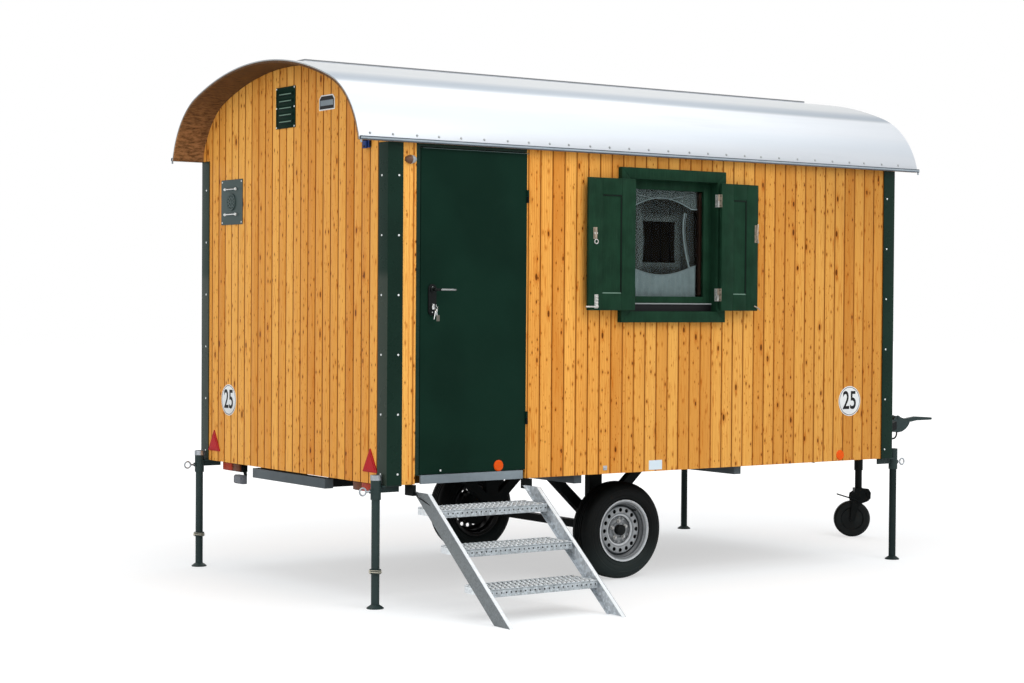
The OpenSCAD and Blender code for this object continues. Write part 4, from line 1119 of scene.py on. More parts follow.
class TRAILER_OT_door(bpy.types.Operator):
    """Fits the lever, the lock and the small screws of the door"""

    bl_idname = "trailer.door"
    bl_label = "Door Fittings"

    def execute(self, context):
        low, high = near_box("lock_plate")
        leaf_low, leaf_high = near_box("door_leaf")
        lever_low, lever_high = near_box("door_lever")
        face = low.y
        x = (low.x + high.x) / 2
        z = lever_low.z + 0.010
        lock_z = low.z + 0.052
        key_face = face - 0.040
        tip = lever_high.x
        bar = [
            (x, 0.002), (x, 0.030), (x + 0.003, 0.038), (x + 0.012, 0.043), (x + 0.03, 0.043), (tip - 0.03, 0.043),
            (tip - 0.008, 0.041), (tip - 0.002, 0.034),
        ]
        neck = [(0.0, 0.0), (0.0150, 0.0), (0.0150, 0.007), (0.0105, 0.010), (0.0085, 0.034), (0.0, 0.034)]
        cylinder = [(0.0, 0.0), (0.0085, 0.0), (0.0085, 0.013), (0.0, 0.013)]

        bm = bmesh.new()
        pipe(bm, [at(a, face - out, z) for a, out in bar], 0.0062, 14)
        finish_piece("lever_bar", bm, "Lever Steel", ("door_lever",), "door_lever")

        bm = bmesh.new()
        blocks(bm, (
            ((x - 0.0085, face - 0.012, lock_z - 0.018), (x + 0.0085, face, lock_z + 0.01), 0.004, 3),
            ((x - 0.0012, face - 0.04, lock_z - 0.004), (x + 0.0012, face - 0.012, lock_z + 0.012), 0.0005),
        ))
        lathe(bm, cylinder, at(x, face, lock_z + 0.006), TO_DOOR_SIDE, 20)
        ring(bm, at(x, key_face, lock_z - 0.012), (1, 0, 0), 0.013, 0.0012, 24, 6)
        for lean, length in ((-0.012, 0.05), (0.010, 0.044)):
            top = at(x + lean * 0.2, key_face + 0.001, lock_z - 0.024)
            rod(bm, top, at(x + lean, key_face + 0.004, lock_z - 0.024 - length), 0.0035, 0.002, 6)
            ball(bm, top, 0.011, (0.25, 1.0, 1.0))
        finish_piece("lock_and_keys", bm, "Steel", body="door")
        bm = bmesh.new()
        lathe(bm, neck, at(x, face - 0.0006, z), TO_DOOR_SIDE, 28)
        ball(bm, at(x, face - 0.036, z), 0.0105, (1.0, 0.9, 1.0))
        block(bm, at(x, face - 0.0495, z - 0.0072), at(x + 0.030, face - 0.0365, z + 0.0072), 0.003, 2)
        finish_piece("lever_neck", bm, "Black Plastic", body="door_lever")

        bm = bmesh.new()
        block(bm, at(x + 0.002, key_face, lock_z - 0.085), at(x + 0.024, key_face + 0.003, lock_z - 0.05), 0.002, 2)
        finish_piece("key_tag", bm, "Key Tag", body="door")

        bm = bmesh.new()
        dome(bm, at(0.351, leaf_low.y + 0.0005, 0.7734), TO_DOOR_SIDE, 0.006)
        domes(bm, [x], [face], (low.z + 0.018, low.z + 0.162), TO_DOOR_SIDE, 0.0035)
        finish_piece("door_screws", bm, "White Plastic", body="door")
        bm = bmesh.new()
        # Painted highlight: a pale strip along the leaf's top edge.
        highlight_foot = at(leaf_low.x + 0.003, leaf_low.y - 0.0012, leaf_high.z - 0.0042)
        block(bm, highlight_foot, at(leaf_high.x - 0.003, leaf_low.y + 0.004, leaf_high.z - 0.0006), 0.0005)
        finish_piece("door_top_highlight", bm, "Plate Grey", body="door")
        return {"FINISHED"}


class TRAILER_OT_window(bpy.types.Operator):
    """Builds the mitred casing, the sash and its weather bar"""

    bl_idname = "trailer.window"
    bl_label = "Window"

    def execute(self, context):
        out_low, out_high = near_box("window_casing")
        low, high = near_box("window_sash")
        glass_low, glass_high = near_box("window_glass")
        liner = 0.003
        near, back, foot, head = low.x + liner, high.x - liner, low.z + liner, high.z - liner
        outer = [(out_low.x, out_low.z), (out_high.x, out_low.z), (out_high.x, out_high.z), (out_low.x, out_high.z)]
        inner = [(near, foot), (back, foot), (back, head), (near, head)]
        bm = bmesh.new()
        for i in range(4):
            j = (i + 1) % 4
            verts = plate(
                bm, [at(x, out_low.y, z) for x, z in (outer[i], outer[j], inner[j], inner[i])], (0, -out_low.y, 0)
            )
            face = at(0, out_low.y, 0).y
            soften(bm, [e for e in edges_of(verts) if all(abs(v.co.y - face) < NO_GAP for v in e.verts)], 0.0022)
        blocks(bm, [((a, 0.0, c), (b, low.y, d)) for a, b, c, d in (
            (low.x, near, low.z, high.z), (back, high.x, low.z, high.z), (near, back, low.z, foot),
            (near, back, head, high.z),
        )])
        finish_piece("casing_boards", bm, "Shutter Paint", ("window_casing",))

        bm = bmesh.new()
        lip, lap = 0.003, 0.001
        blocks(bm, [((a, low.y, c), (b, high.y, d), lip, 2) for a, b, c, d in (
            (low.x, glass_low.x, low.z, high.z), (glass_high.x, high.x, low.z, high.z),
            (glass_low.x - lap, glass_high.x + lap, low.z, glass_low.z),
            (glass_low.x - lap, glass_high.x + lap, glass_high.z, high.z),
        )])
        finish_piece("sash_frame", bm, "Shutter Paint", ("window_sash",))

        bm = bmesh.new()
        blocks(bm, [((near, a, low.z + c), (back, b, low.z + d), *looks) for a, b, c, d, *looks in (
            (low.y - 0.014, low.y, 0.004, 0.046, 0.002, 1, 1), (low.y - 0.018, low.y, 0.046, 0.054, 0.002),
            (0.004, low.y - 0.014, 0.0035, 0.006, 0.001, 1, 1),
        )])
        finish_piece("weather_bar", bm, ["Verge Grey", "Print Black"])
        bm = bmesh.new()
        strip_foot = at(glass_high.x - 0.016, 0.060, glass_low.z + 0.006)
        block(bm, strip_foot, at(glass_high.x + 0.030, 0.080, glass_high.z - 0.006), 0.002)
        finish_piece("roller_strip", bm, "Brown Strip")
        return {"FINISHED"}


def hanging(name, span, top, hem, folds, deep, inward, finish, rows=40, drift=0.6, gather=0.45, hole=None):
    """Cloth across the window between two lines given as functions, its folds shallower where it is gathered."""
    left, right = span
    bm = bmesh.new()
    bmesh.ops.create_grid(bm, x_segments=folds * 10, y_segments=rows, size=0.5, matrix=Matrix.Identity(4))
    for vert in bm.verts:
        across, down = vert.co.x + 0.5, 0.5 - vert.co.y
        z = top(across) - (top(across) - hem(across)) * down
        fold = math.sin(across * folds * 2 * math.pi + drift * math.sin(9 * across)) * deep
        vert.co = at(left + (right - left) * across, inward + fold * (1 - gather + gather * down), z)
    if hole:
        bmesh.ops.delete(bm, geom=[f for f in bm.faces if hole(f.calc_center_median() - CORNER)], context="FACES")
    piece = finish_piece(name, bm, finish, smooth=60.0)
    area = sum(p.area for p in piece.data.polygons)
    height = sum(top(i / 20) - hem(i / 20) for i in range(21)) / 21
    area / height


def braid(bm, points, y, wide):
    """Flat braid sewn along a line of points in X and Z."""
    for (x0, z0), (x1, z1) in zip(points, points[1:]):
        side = Vector((z0 - z1, 0, x1 - x0)).normalized() * wide / 2
        start, end = at(x0, y, z0), at(x1, y, z1)
        plate(bm, [start - side, end - side, end + side, start + side], (0, 0.0012, 0))


# The drawn-back edge of the net and the cord beside it, from the top down
DRAPE = ((2.258, 2.316), (2.247, 2.262), (2.245, 2.205), (2.252, 2.140), (2.266, 2.075), (2.284, 2.010), (2.300, 1.966))
DRAPE_CORD = ((2.275, 2.316), (2.262, 2.262), (2.259, 2.205), (2.266, 2.140), (2.280, 2.075), (2.298, 2.010))


class TRAILER_OT_curtains(bpy.types.Operator):
    """Hangs the net curtains behind the pane, drawn back round a dark opening"""

    bl_idname = "trailer.curtains"
    bl_label = "Curtains"

    def execute(self, context):
        low, high = near_box("window_glass")
        inward = near_box("window_sash")[1].y + 0.03
        left, right = low.x - 0.01, high.x - 0.012
        top, foot = high.z + 0.012, low.z - 0.01

        def bow(share):
            return math.sin(math.pi * min(1.0, max(0.0, share)))

        def arch(a):
            return high.z - 0.116 + 0.066 * bow((a - 0.08) / 0.84)

        def dip(a):
            return low.z + 0.196 - 0.062 * bow((a - 0.02) / 0.96)

        def gap(spot):
            pinch = 0.010 * math.cos(math.pi * (spot.z - 2.134) / 0.25)
            return 1.944 + pinch < spot.x < 2.207 - pinch * 0.5 and 2.008 < spot.z < 2.262 + pinch * 0.3

        span = (left, right)
        hanging("curtain_net", span, lambda a: top, lambda a: foot, 7, 0.004, inward + 0.030, "Net", hole=gap)
        hanging("curtain_valance", span, lambda a: top, arch, 11, 0.005, inward, "Lace")
        hanging("curtain_cafe", span, dip, lambda a: foot, 11, 0.004, inward + 0.010, "Cafe Lace", 24, 0.0, 0.0)

        bm = bmesh.new()
        shares = [(left + (right - left) * i / 24, i / 24) for i in range(25)]
        swag = [(left + (high.x - low.x) * 0.97 * i / 16, high.z - 0.008 - 0.044 * bow(i / 16)) for i in range(17)]
        for line, out, wide in (
            ([(x, dip(a)) for x, a in shares], -0.004, 0.007),
            ([(x, arch(a) + 0.004) for x, a in shares], 0.006, 0.006),
            (swag, 0.006, 0.003), (DRAPE, 0.004, 0.012), (DRAPE_CORD, 0.004, 0.003),
        ):
            braid(bm, line, inward - out, wide)
        finish_piece("curtain_braids", bm, "Hem", smooth=0)
        bm = bmesh.new()
        rod(bm, at(low.x - 0.03, inward + 0.012, top), at(high.x + 0.03, inward + 0.012, top), 0.004, None, 10)
        finish_piece("curtain_rods", bm, "Dull Steel")
        return {"FINISHED"}


def left_latches(bm, outer, face, bottom):
    """Bolt with a ring, and the sprung catch under it, on the free edge of the left shutter."""
    x, z = outer + 0.048, bottom + 0.432
    block(bm, (x - 0.014, face - 0.0025, z), (x + 0.014, face, z + 0.070), 0.0008, 1, 2)
    rod(bm, (x, face - 0.007, z + 0.006), (x, face - 0.007, z + 0.066), 0.0065, None, 12, 2)
    block(bm, (x - 0.012, face - 0.011, z + 0.028), (x + 0.012, face - 0.002, z + 0.040), 0.001)
    ring(bm, (x + 0.006, face - 0.004, z - 0.016), (0, 1, 0), 0.0130, 0.0032, 24, 8)
    x, z = outer + 0.058, bottom + 0.018
    block(bm, (x - 0.013, face - 0.0025, z - 0.006), (x + 0.013, face, z + 0.078), 0.0008)
    for lift in (0.012, 0.030, 0.048, 0.066):
        block(bm, (x - 0.011, face - 0.010, z + lift - 0.006), (x + 0.011, face - 0.002, z + lift + 0.004), 0.003, 2)
    rod(bm, (x - 0.078, face - 0.0055, z + 0.004), (x + 0.012, face - 0.0055, z + 0.004), 0.005, None, 12)


def right_latches(bm, outer, face, bottom):
    """Pull handle and the hook under it, on the free edge of the right shutter."""
    x, z = outer + 0.020, bottom + 0.430
    pull = (
        (-0.016, 0.005, 0.006), (-0.004, 0.012, 0.020), (0.0, 0.013, 0.060), (-0.004, 0.012, 0.104),
        (-0.012, 0.005, 0.122),
    )
    hook = ((0.0, 0.001, 0.012), (-0.004, 0.010, 0.008), (-0.022, 0.0165, -0.003), (-0.034, 0.0165, -0.012))
    block(bm, (x - 0.018, face - 0.0025, z + 0.006), (x + 0.012, face, z + 0.118), 0.0008)
    pipe(bm, [(x + a, face - out, z + c) for a, out, c in pull], 0.0055)
    block(bm, (x - 0.014, face - 0.011, z + 0.052), (x + 0.010, face - 0.002, z + 0.070), 0.002)
    pipe(bm, [(outer + 0.030 + a, face - out, bottom + 0.018 + c) for a, out, c in hook], 0.0045)


class TRAILER_OT_shutters(bpy.types.Operator):
    """Frames the two folded shutters, with their hinges and latches"""

    bl_idname = "trailer.shutters"
    bl_label = "Shutters"

    def execute(self, context):
        laid = sizes()
        pivots = {joint["name"]: joint["pos_m"] for joint in frame["joints"]}
        low, high = near_box("left_shutter")
        sash_low, sash_high = near_box("window_sash")
        flap_z = (sash_low.z + 0.108, sash_high.z - 0.117)
        inner, back, face, bottom, top = -0.004, -0.005, -0.027, low.z, high.z
        stile, bead, lean = 0.102, 0.007, math.radians(2.5)
        for name, side, wide in (("left_shutter", 1, laid.left_leaf), ("right_shutter", -1, laid.right_leaf)):
            left = side > 0
            x, y, _ = pivots[name + "_swing"]
            place = Matrix.Translation((x, y, 0)) @ Matrix.Diagonal((side, 1, 1, 1)) @ Matrix.Rotation(-lean, 4, "Z")
            outer = inner - wide
            a, b, c, d = outer + stile, inner - stile, bottom + stile, top - stile
            bm = bmesh.new()
            for x0, x1, z0, z1 in ((outer, a, bottom, top), (b, inner, bottom, top), (a, b, bottom, c), (a, b, d, top)):
                block(bm, (x0, face, z0), (x1, back, z1), 0.003, 2)
            block(bm, (a - 0.002, face + 0.008, c - 0.002), (b + 0.002, back - 0.002, d + 0.002), 0.001)
            # Painted light on the beads round the panel: shade on the top bead and on one side bead, a highlight on the
            # bottom bead.
            for x0, x1, z0, z1, tone in (
                (a, a + bead, c, d, 0 if left else 1), (b - bead, b, c, d, 1 if left else 0), (a, b, c, c + bead, 2),
                (a, b, d - bead, d, 1),
            ):
                block(bm, (x0, face + 0.003, z0), (x1, face + 0.010, z1), 0.002, 2, tone)
            bmesh.ops.transform(bm, matrix=place, verts=bm.verts)
            tones = ["Shutter Paint", "Shutter Shade", "Shutter Edge"]
            finish_piece(name + "_frame", bm, tones, (name,), name)

            bm = bmesh.new()
            edge = -0.0028 if left else -0.002
            for z in flap_z:
                rod(bm, (0, 0, z), (0, 0, z + 0.040), 0.005, None, 14)
                block(bm, (-0.004, face, z - 0.040), (edge, back - 0.001, z + 0.040), 0.0003, 1, 1 if left else 0)
                block(bm, (-0.0038, back - 0.002, z), (-0.0022, 0.0, z + 0.040), 0.0003)
                for part in (0.030,) if left else (-0.030, 0.0, 0.030):
                    dome(bm, Vector((edge, face + 0.010, z + part)), (1, 0, 0), 0.0042, 1)
            (left_latches if left else right_latches)(bm, outer, face, bottom)
            bmesh.ops.transform(bm, matrix=place, verts=bm.verts)
            metal = ["Bright Zinc" if left else "Warm Steel", "Print Black", "Warm Steel"]
            finish_piece(name + "_metal", bm, metal, body=name)

        bm = bmesh.new()
        hinge_low, hinge_high = near_box("shutter_hinges")
        casing_y = near_box("window_casing")[0].y
        for z in flap_z:
            rows = (z - 0.030, z, z + 0.030)
            domes(bm, [hinge_low.x + 0.008], [casing_y - 0.002], (z - 0.030, z - 0.010), TO_DOOR_SIDE, 0.0035)
            domes(bm, [hinge_high.x - 0.002], [-0.024], rows, TO_REAR, 0.0035)
        finish_piece("casing_hinge_screws", bm, "Print Black")
        return {"FINISHED"}


class TRAILER_OT_end_fittings(bpy.types.Operator):
    """Makes the louvred vent, the flue plate, the bare badge and the power inlet"""

    bl_idname = "trailer.end_fittings"
    bl_label = "End Wall Fittings"

    def execute(self, context):
        low, high = near_box("vent_grille")
        rim, pitch, louvre_in = 0.012, 0.042, 0.026
        louvre = ((-0.003, 0.026), (-0.003, 0.022), (-0.011, 0.002), (-0.012, 0.003), (-0.012, 0.006))
        bm = bmesh.new()
        block(bm, at(-0.003, low.y, low.z), at(0.0, high.y, high.z), 0.001, 2)
        blocks(bm, [((-0.006, a, c), (-0.002, b, d), 0.0015, 2) for a, b, c, d in (
            (low.y, high.y, low.z, low.z + rim), (low.y, high.y, high.z - rim, high.z),
            (low.y, low.y + rim, low.z + rim, high.z - rim), (high.y - rim, high.y, low.z + rim, high.z - rim),
        )])
        for row in range(5):
            z = low.z + 0.030 + pitch * row
            outline = [at(x, low.y + louvre_in, z + lift) for x, lift in louvre]
            plate(bm, outline, (0, high.y - low.y - 2 * louvre_in, 0))
            # Painted shade and light: a black strip stands for the dark slot behind each louvre, and a pale strip along
            # each louvre's top is a painted highlight.
            blocks(bm, (
                ((-0.0036, low.y + 0.028, z + 0.001), (-0.0028, high.y - 0.028, z + 0.02), 0.0, 1, 1),
                ((-0.0118, low.y + 0.040, z + 0.0055), (-0.0100, high.y - 0.050, z + 0.0125), 0.0008, 1, 2),
            ))
        tones = ["Door Enamel", "Print Black", "Shutter Edge"]
        finish_piece("vent_louvres", bm, tones, ("vent_grille",))
        bm = bmesh.new()
        heights = (low.z + 0.008, (low.z + high.z) / 2, high.z - 0.008)
        domes(bm, [-0.006], (low.y + 0.008, high.y - 0.008), heights, TO_REAR, 0.006)
        finish_piece("vent_screws", bm, "White Plastic")

        low, high = near_box("flue_plate")
        y, z = (low.y + high.y) / 2, (low.z + high.z) / 2
        reach, out = 0.072, -0.016
        bars, knobs = bmesh.new(), bmesh.new()
        for bar_z in (z - 0.079, z + 0.082):
            rod(bars, at(out, y - reach, bar_z), at(out, y + reach, bar_z), 0.0045, None, 14)
            for side in (-1, 1):
                foot_y = y + side * (reach - 0.006)
                rod(bars, at(-0.004, foot_y, bar_z), at(out, foot_y, bar_z), 0.005, None, 12)
                ball(knobs, at(out, y + side * reach, bar_z), 0.0095)
        domes(knobs, [-0.004], (low.y + 0.014, high.y - 0.014), (low.z + 0.014, high.z - 0.014), TO_REAR, 0.006)
        finish_piece("flue_bars", bars, "Steel")
        finish_piece("flue_screws", knobs, "White Plastic")
        bm = bmesh.new()
        ring(bm, at(-0.0105, y, z), TO_REAR, 0.0525, 0.0025, 40, 8)
        ring(bm, at(-0.0105, y, z), TO_REAR, 0.0100, 0.0015, 24, 8)
        finish_piece("flue_rings", bm, "Plate Grey")

        bm = bmesh.new()
        for depth, cut, finish in ((0.003, 0.0, 0), (0.004, 0.007, 1)):
            a, b, c, d = 0.60 + cut, 0.78 - cut, 2.877 + cut, 2.967 - cut
            nick = 0.022 - cut * 0.4
            outline = [(a, c), (b, c), (b, d - nick), (b - nick, d), (a + nick, d), (a, d - nick)]
            plate(bm, [at(-depth, y, z) for y, z in outline], (depth, 0, 0), finish)
        block(bm, at(-0.0046, 0.615, 2.904), at(-0.0036, 0.765, 2.936), 0.0004, 1, 2)
        finish_piece("bare_badge", bm, ["White Enamel", "Print Black", "Sill Grey"])

        low, high = near_box("power_inlet")
        edge = high.y - 0.016
        bm = bmesh.new()
        blocks(bm, (
            ((low.x + 0.012, low.y, low.z + 0.004), (0.0, edge, high.z), 0.006, 3),
            ((low.x, low.y + 0.010, low.z), (low.x + 0.014, edge - 0.010, high.z - 0.008), 0.006, 3),
            ((low.x - 0.0006, low.y + 0.018, low.z + 0.006), (low.x + 0.004, edge - 0.018, low.z + 0.018), 0.002, 2, 1),
            ((low.x + 0.016, low.y - 0.0006, low.z + 0.010), (-0.004, low.y + 0.004, high.z - 0.006), 0.002, 2, 1),
        ))
        hinge = (at(low.x + 0.010, a, high.z - 0.004) for a in (low.y + 0.01, edge - 0.01))
        rod(bm, *hinge, 0.004, None, 12, 1)
        finish_piece("inlet_housing", bm, ["Blue Plastic", "Print Black"], ("power_inlet",))

        bm = bmesh.new()
        block(bm, at(1.9133, -0.0012, 0.709), at(2.0186, 0.0, 0.768), 0.0005)
        finish_piece("bare_label", bm, "Label White")
        bm = bmesh.new()
        block(bm, at(1.552, -0.004, 0.722), at(1.582, 0.0, 0.750), 0.0015, 2)
        dome(bm, at(1.567, -0.004, 0.736), TO_DOOR_SIDE)
        finish_piece("wall_tab", bm, "Zinc")
        return {"FINISHED"}


def round_reflector(name, node, body):
    """Round reflector with its rim and prismatic face, in place of a packed one."""
    low, high = near_box(node)
    radius = (high.x - low.x) / 2
    centre = at((low.x + high.x) / 2, high.y, (low.z + high.z) / 2)
    inside = radius - 0.004
    rim = [(0.0, 0.0), (radius, 0.0), (radius, 0.004), (radius - 0.002, 0.006), (inside, 0.006), (inside, 0.004)]
    face = [(inside, 0.004), (radius - 0.006, 0.0072), (radius * 0.5, 0.0078), (0.004, 0.0078), (0.0, 0.0078)]
    bm = bmesh.new()
    lathe(bm, rim, centre, TO_DOOR_SIDE, 48, 1)
    lathe(bm, face, centre, TO_DOOR_SIDE, 48, 0)
    finish_piece(name, bm, ["Orange Lens", "Orange Lens"], (node,), body, 30.0)


class TRAILER_OT_lamps(bpy.types.Operator):
    """Makes the lamps and the reflectors"""

    bl_idname = "trailer.lamps"
    bl_label = "Lamps and Reflectors"

    def execute(self, context):
        round_reflector("door_orange", "door_reflector", "door")
        round_reflector("wall_orange", "wall_reflector", "trailer")

        low, high = near_box("rear_reflectors")
        half = 0.080
        bm = bmesh.new()
        for y in (low.y + half, high.y - half):
            for depth, cut, finish in ((0.006, 0.0, 0), (0.0078, 0.014, 1)):
                reach, foot = half - cut * 1.7, low.z + cut
                base = [(y - reach, foot), (y + reach, foot), (y, high.z - cut * 2.0)]
                verts = plate(bm, [at(-depth, a, z) for a, z in base], (depth, 0, 0), finish)
                soften(bm, [e for e in edges_of(verts) if abs(e.verts[0].co.x - e.verts[1].co.x) > 1e-4], 0.006, 4)
        finish_piece("red_triangles", bm, ["Red Lens", "Red Lens"], ("rear_reflectors",))

        low, high = near_box("marker_lamp")
        x, z = (low.x + high.x) / 2, (low.z + high.z) / 2
        bm = bmesh.new()
        place = Matrix.Translation(at(x, 0.0, z)) @ Matrix.Diagonal((0.039, 0.030, 0.025, 1))
        bmesh.ops.create_uvsphere(bm, u_segments=32, v_segments=20, radius=1.0, matrix=place)
        for spot, way, outer in ((at(x, 0, 0), (1, 0, 0), False), (at(0, 0, 0), (0, 1, 0), True)):
            cut = bmesh.ops.bisect_plane(
                bm, geom=[*bm.verts, *bm.edges, *bm.faces], plane_co=spot, plane_no=way, clear_outer=outer
            )
        bmesh.ops.holes_fill(bm, edges=[e for e in cut["geom_cut"] if isinstance(e, bmesh.types.BMEdge)])
        for face in bm.faces:
            face.material_index = 0 if face.calc_center_median().x < at(x, 0, 0).x else 1
        for shift in (-0.002, 0.002):
            ends = (at(x + shift, -0.001, z + lift) for lift in (-0.0255, 0.0255))
            rod(bm, *ends, 0.003, None, 8, 2)
        tones = ["Marker Lens", "Verge Grey", "Print Black"]
        finish_piece("side_marker", bm, tones, ("marker_lamp",))

        low, high = near_box("rear_lamps")
        wide = 0.235
        bm = bmesh.new()
        for outer, way in ((low.y, 1), (high.y, -1)):
            for a, b, front, back, trim, edge, finish in (
                (0.0, 1.0, low.x + 0.016, high.x, 0.0, 0.004, 0), (0.02, 0.55, low.x, low.x + 0.03, 0.004, 0.003, 1),
                (0.56, 0.98, low.x + 0.002, low.x + 0.03, 0.004, 0.003, 2),
            ):
                y0, y1 = sorted(outer + way * wide * share for share in (a, b))
                block(bm, at(front, y0, low.z + trim), at(back, y1, high.z - trim), edge, 2, finish)
        tones = ["Black Plastic", "Amber Lens", "Brown Lens"]
        finish_piece("tail_lamps", bm, tones, ("rear_lamps",))

        low, high = near_box("reversing_lamp")
        tall, arm_tall = 0.057, 0.076
        arm = (
            (0.004, 0.0), (0.040, 0.0), (0.052, 0.022), (0.090, 0.050), (0.120, 0.066), (0.120, 0.076), (0.080, 0.076),
            (0.016, 0.052),
        )
        bm = bmesh.new()
        blocks(bm, (
            ((low.x + 0.008, low.y + 0.042, low.z), (high.x, high.y, low.z + tall), 0.005, 2, 1),
            ((low.x, low.y + 0.050, low.z + 0.006), (low.x + 0.012, high.y - 0.008, low.z + tall - 0.006), 0.004, 2, 1),
        ))
        plate(bm, [at(high.x - 0.010, low.y + a + 0.030, high.z - arm_tall + b) for a, b in arm], (0.005, 0, 0), 2)
        tones = ["Black Plastic", "Lamp Grey", "Chassis Paint"]
        finish_piece("reverse_lamp", bm, tones, ("reversing_lamp",))
        return {"FINISHED"}


class TRAILER_OT_chassis(bpy.types.Operator):
    """Makes the cross members, the front one with outriggers that taper to the sides"""

    bl_idname = "trailer.chassis"
    bl_label = "Cross Members"

    def execute(self, context):
        low, high = near_box("cross_members")
        rail_low, rail_high = near_box("chassis_rails")
        wide, top, front = rail_low.x, high.z, rail_high.x
        drop, thin, front_in = 0.012, 0.010, 0.110
        rows = [
            ((0, rail_low.y, low.z), (wide, rail_high.y, top - drop)),
            ((front, rail_low.y, rail_low.z), (front + wide, rail_high.y, top)),
        ]
        for x in (1.375, 2.670):
            for a, b in ((low.y, rail_low.y), (rail_low.y + wide, rail_high.y - wide), (rail_high.y, high.y)):
                rows.append(((x, a, rail_low.z + 0.008), (x + wide, b, top)))
        bm = bmesh.new()
        blocks(bm, [(*row, 0.003, 2) for row in rows])
        for side, near in ((rail_low.y, front_in), (rail_high.y, WIDTH - front_in)):
            outline = [(near, top), (side, top), (side, rail_low.z), (near, top - thin)]
            plate(bm, [at(front, y, z) for y, z in outline], (wide, 0, 0))
        finish_piece("cross_bars", bm, "Beam Grey", ("cross_members",))
        return {"FINISHED"}


class TRAILER_OT_signs(bpy.types.Operator):
    """Paints the two round number signs"""

    bl_idname = "trailer.signs"
    bl_label = "Number Signs"

    def execute(self, context):
        disc = [(0.0, 0.0), (0.100, 0.0), (0.100, 0.0014), (0.0, 0.0014)]
        line = [(0.094, 0.0012), (0.094, 0.0018), (0.0905, 0.0018), (0.0905, 0.0012)]
        digits_out, narrowed, raised = 0.0017, 0.86, 1.12
        up = Vector((0, 0, 1))
        for name, centre, out in (
            ("side_sign", at(3.641, 0.0, 1.098), TO_DOOR_SIDE), ("rear_sign", at(0.0, 1.926, 1.104), TO_REAR)
        ):
            out = Vector(out)
            bm = bmesh.new()
            lathe(bm, disc, centre, out, 64, 0)
            lathe(bm, line, centre, out, 64, 1)
            letters = bpy.data.curves.new(name + "_digits", "FONT")
            letters.body = "25"
            letters.align_x = "CENTER"
            letters.align_y = "CENTER"
            letters.size = 0.150
            letters.offset = 0.0022
            letters.extrude = 0.0002
            holder = bpy.data.objects.new(name + "_digits", letters)
            bpy.context.scene.collection.objects.link(holder)
            bpy.context.view_layer.update()
            shape = bpy.data.meshes.new_from_object(holder.evaluated_get(bpy.context.evaluated_depsgraph_get()))
            turn = Matrix((up.cross(out).normalized(), up, out)).transposed().to_4x4()
            place = Matrix.Translation(centre + out * digits_out) @ turn @ Matrix.Diagonal((narrowed, raised, 1, 1))
            shape.transform(place)
            known = len(bm.faces)
            bm.from_mesh(shape)
            bm.faces.ensure_lookup_table()
            for face in bm.faces[known:]:
                face.material_index = 1
            bpy.data.objects.remove(holder)
            bpy.data.curves.remove(letters)
            bpy.data.meshes.remove(shape)
            finish_piece(name, bm, ["White Enamel", "Print Black"], smooth=20.0)
        return {"FINISHED"}


# Side of the tyre from the rim outwards: distance past the bead and depth below the sidewall's outermost face
TYRE_SIDE = (
    (0.0, 0.0235), (0.010, 0.0215), (0.018, 0.0190), (0.022, 0.0150), (0.026, 0.0100), (0.034, 0.0062),
    (0.040, 0.0040), (0.043, 0.0020), (0.046, 0.0036), (0.060, 0.0008), (0.072, 0.0014), (0.078, 0.0034),
    (0.082, 0.0018), (0.094, 0.0060), (0.104, 0.0110), (0.112, 0.0170), (0.1185, 0.0245), (0.1235, 0.0330),
)

# Pressed disc of a wheel from the hub outwards: radius and depth; its vents lie in the flat band
PRESSED_DISC = (
    (0.040, 0.0755), (0.078, 0.0755), (0.084, 0.0740), (0.088, 0.0690), (0.091, 0.0630), (0.095, 0.0605),
    (0.099, 0.0600), (0.103, 0.0580), (0.108, 0.0540), (0.1125, 0.0520), (0.1200, 0.0512), (0.1275, 0.0512),
    (0.1350, 0.0516), (0.1425, 0.0524), (0.1470, 0.0550), (0.1520, 0.0610), (0.1570, 0.0670),
)
VENT_BAND = (0.1125, 0.1425)
VENTS = 16
VENT_RADIUS = 0.0135

# Hub behind the disc, up to the bore of its bearing
HUB_SLEEVE = (
    (0.0, 0.074), (0.050, 0.074), (0.045, 0.080), (0.045, 0.200), (0.0176, 0.200), (0.0176, 0.095), (0.0, 0.095)
)
HUB_CAP = ((0.0, 0.034), (0.024, 0.034), (0.029, 0.036), (0.0336, 0.041), (0.0336, 0.0712))


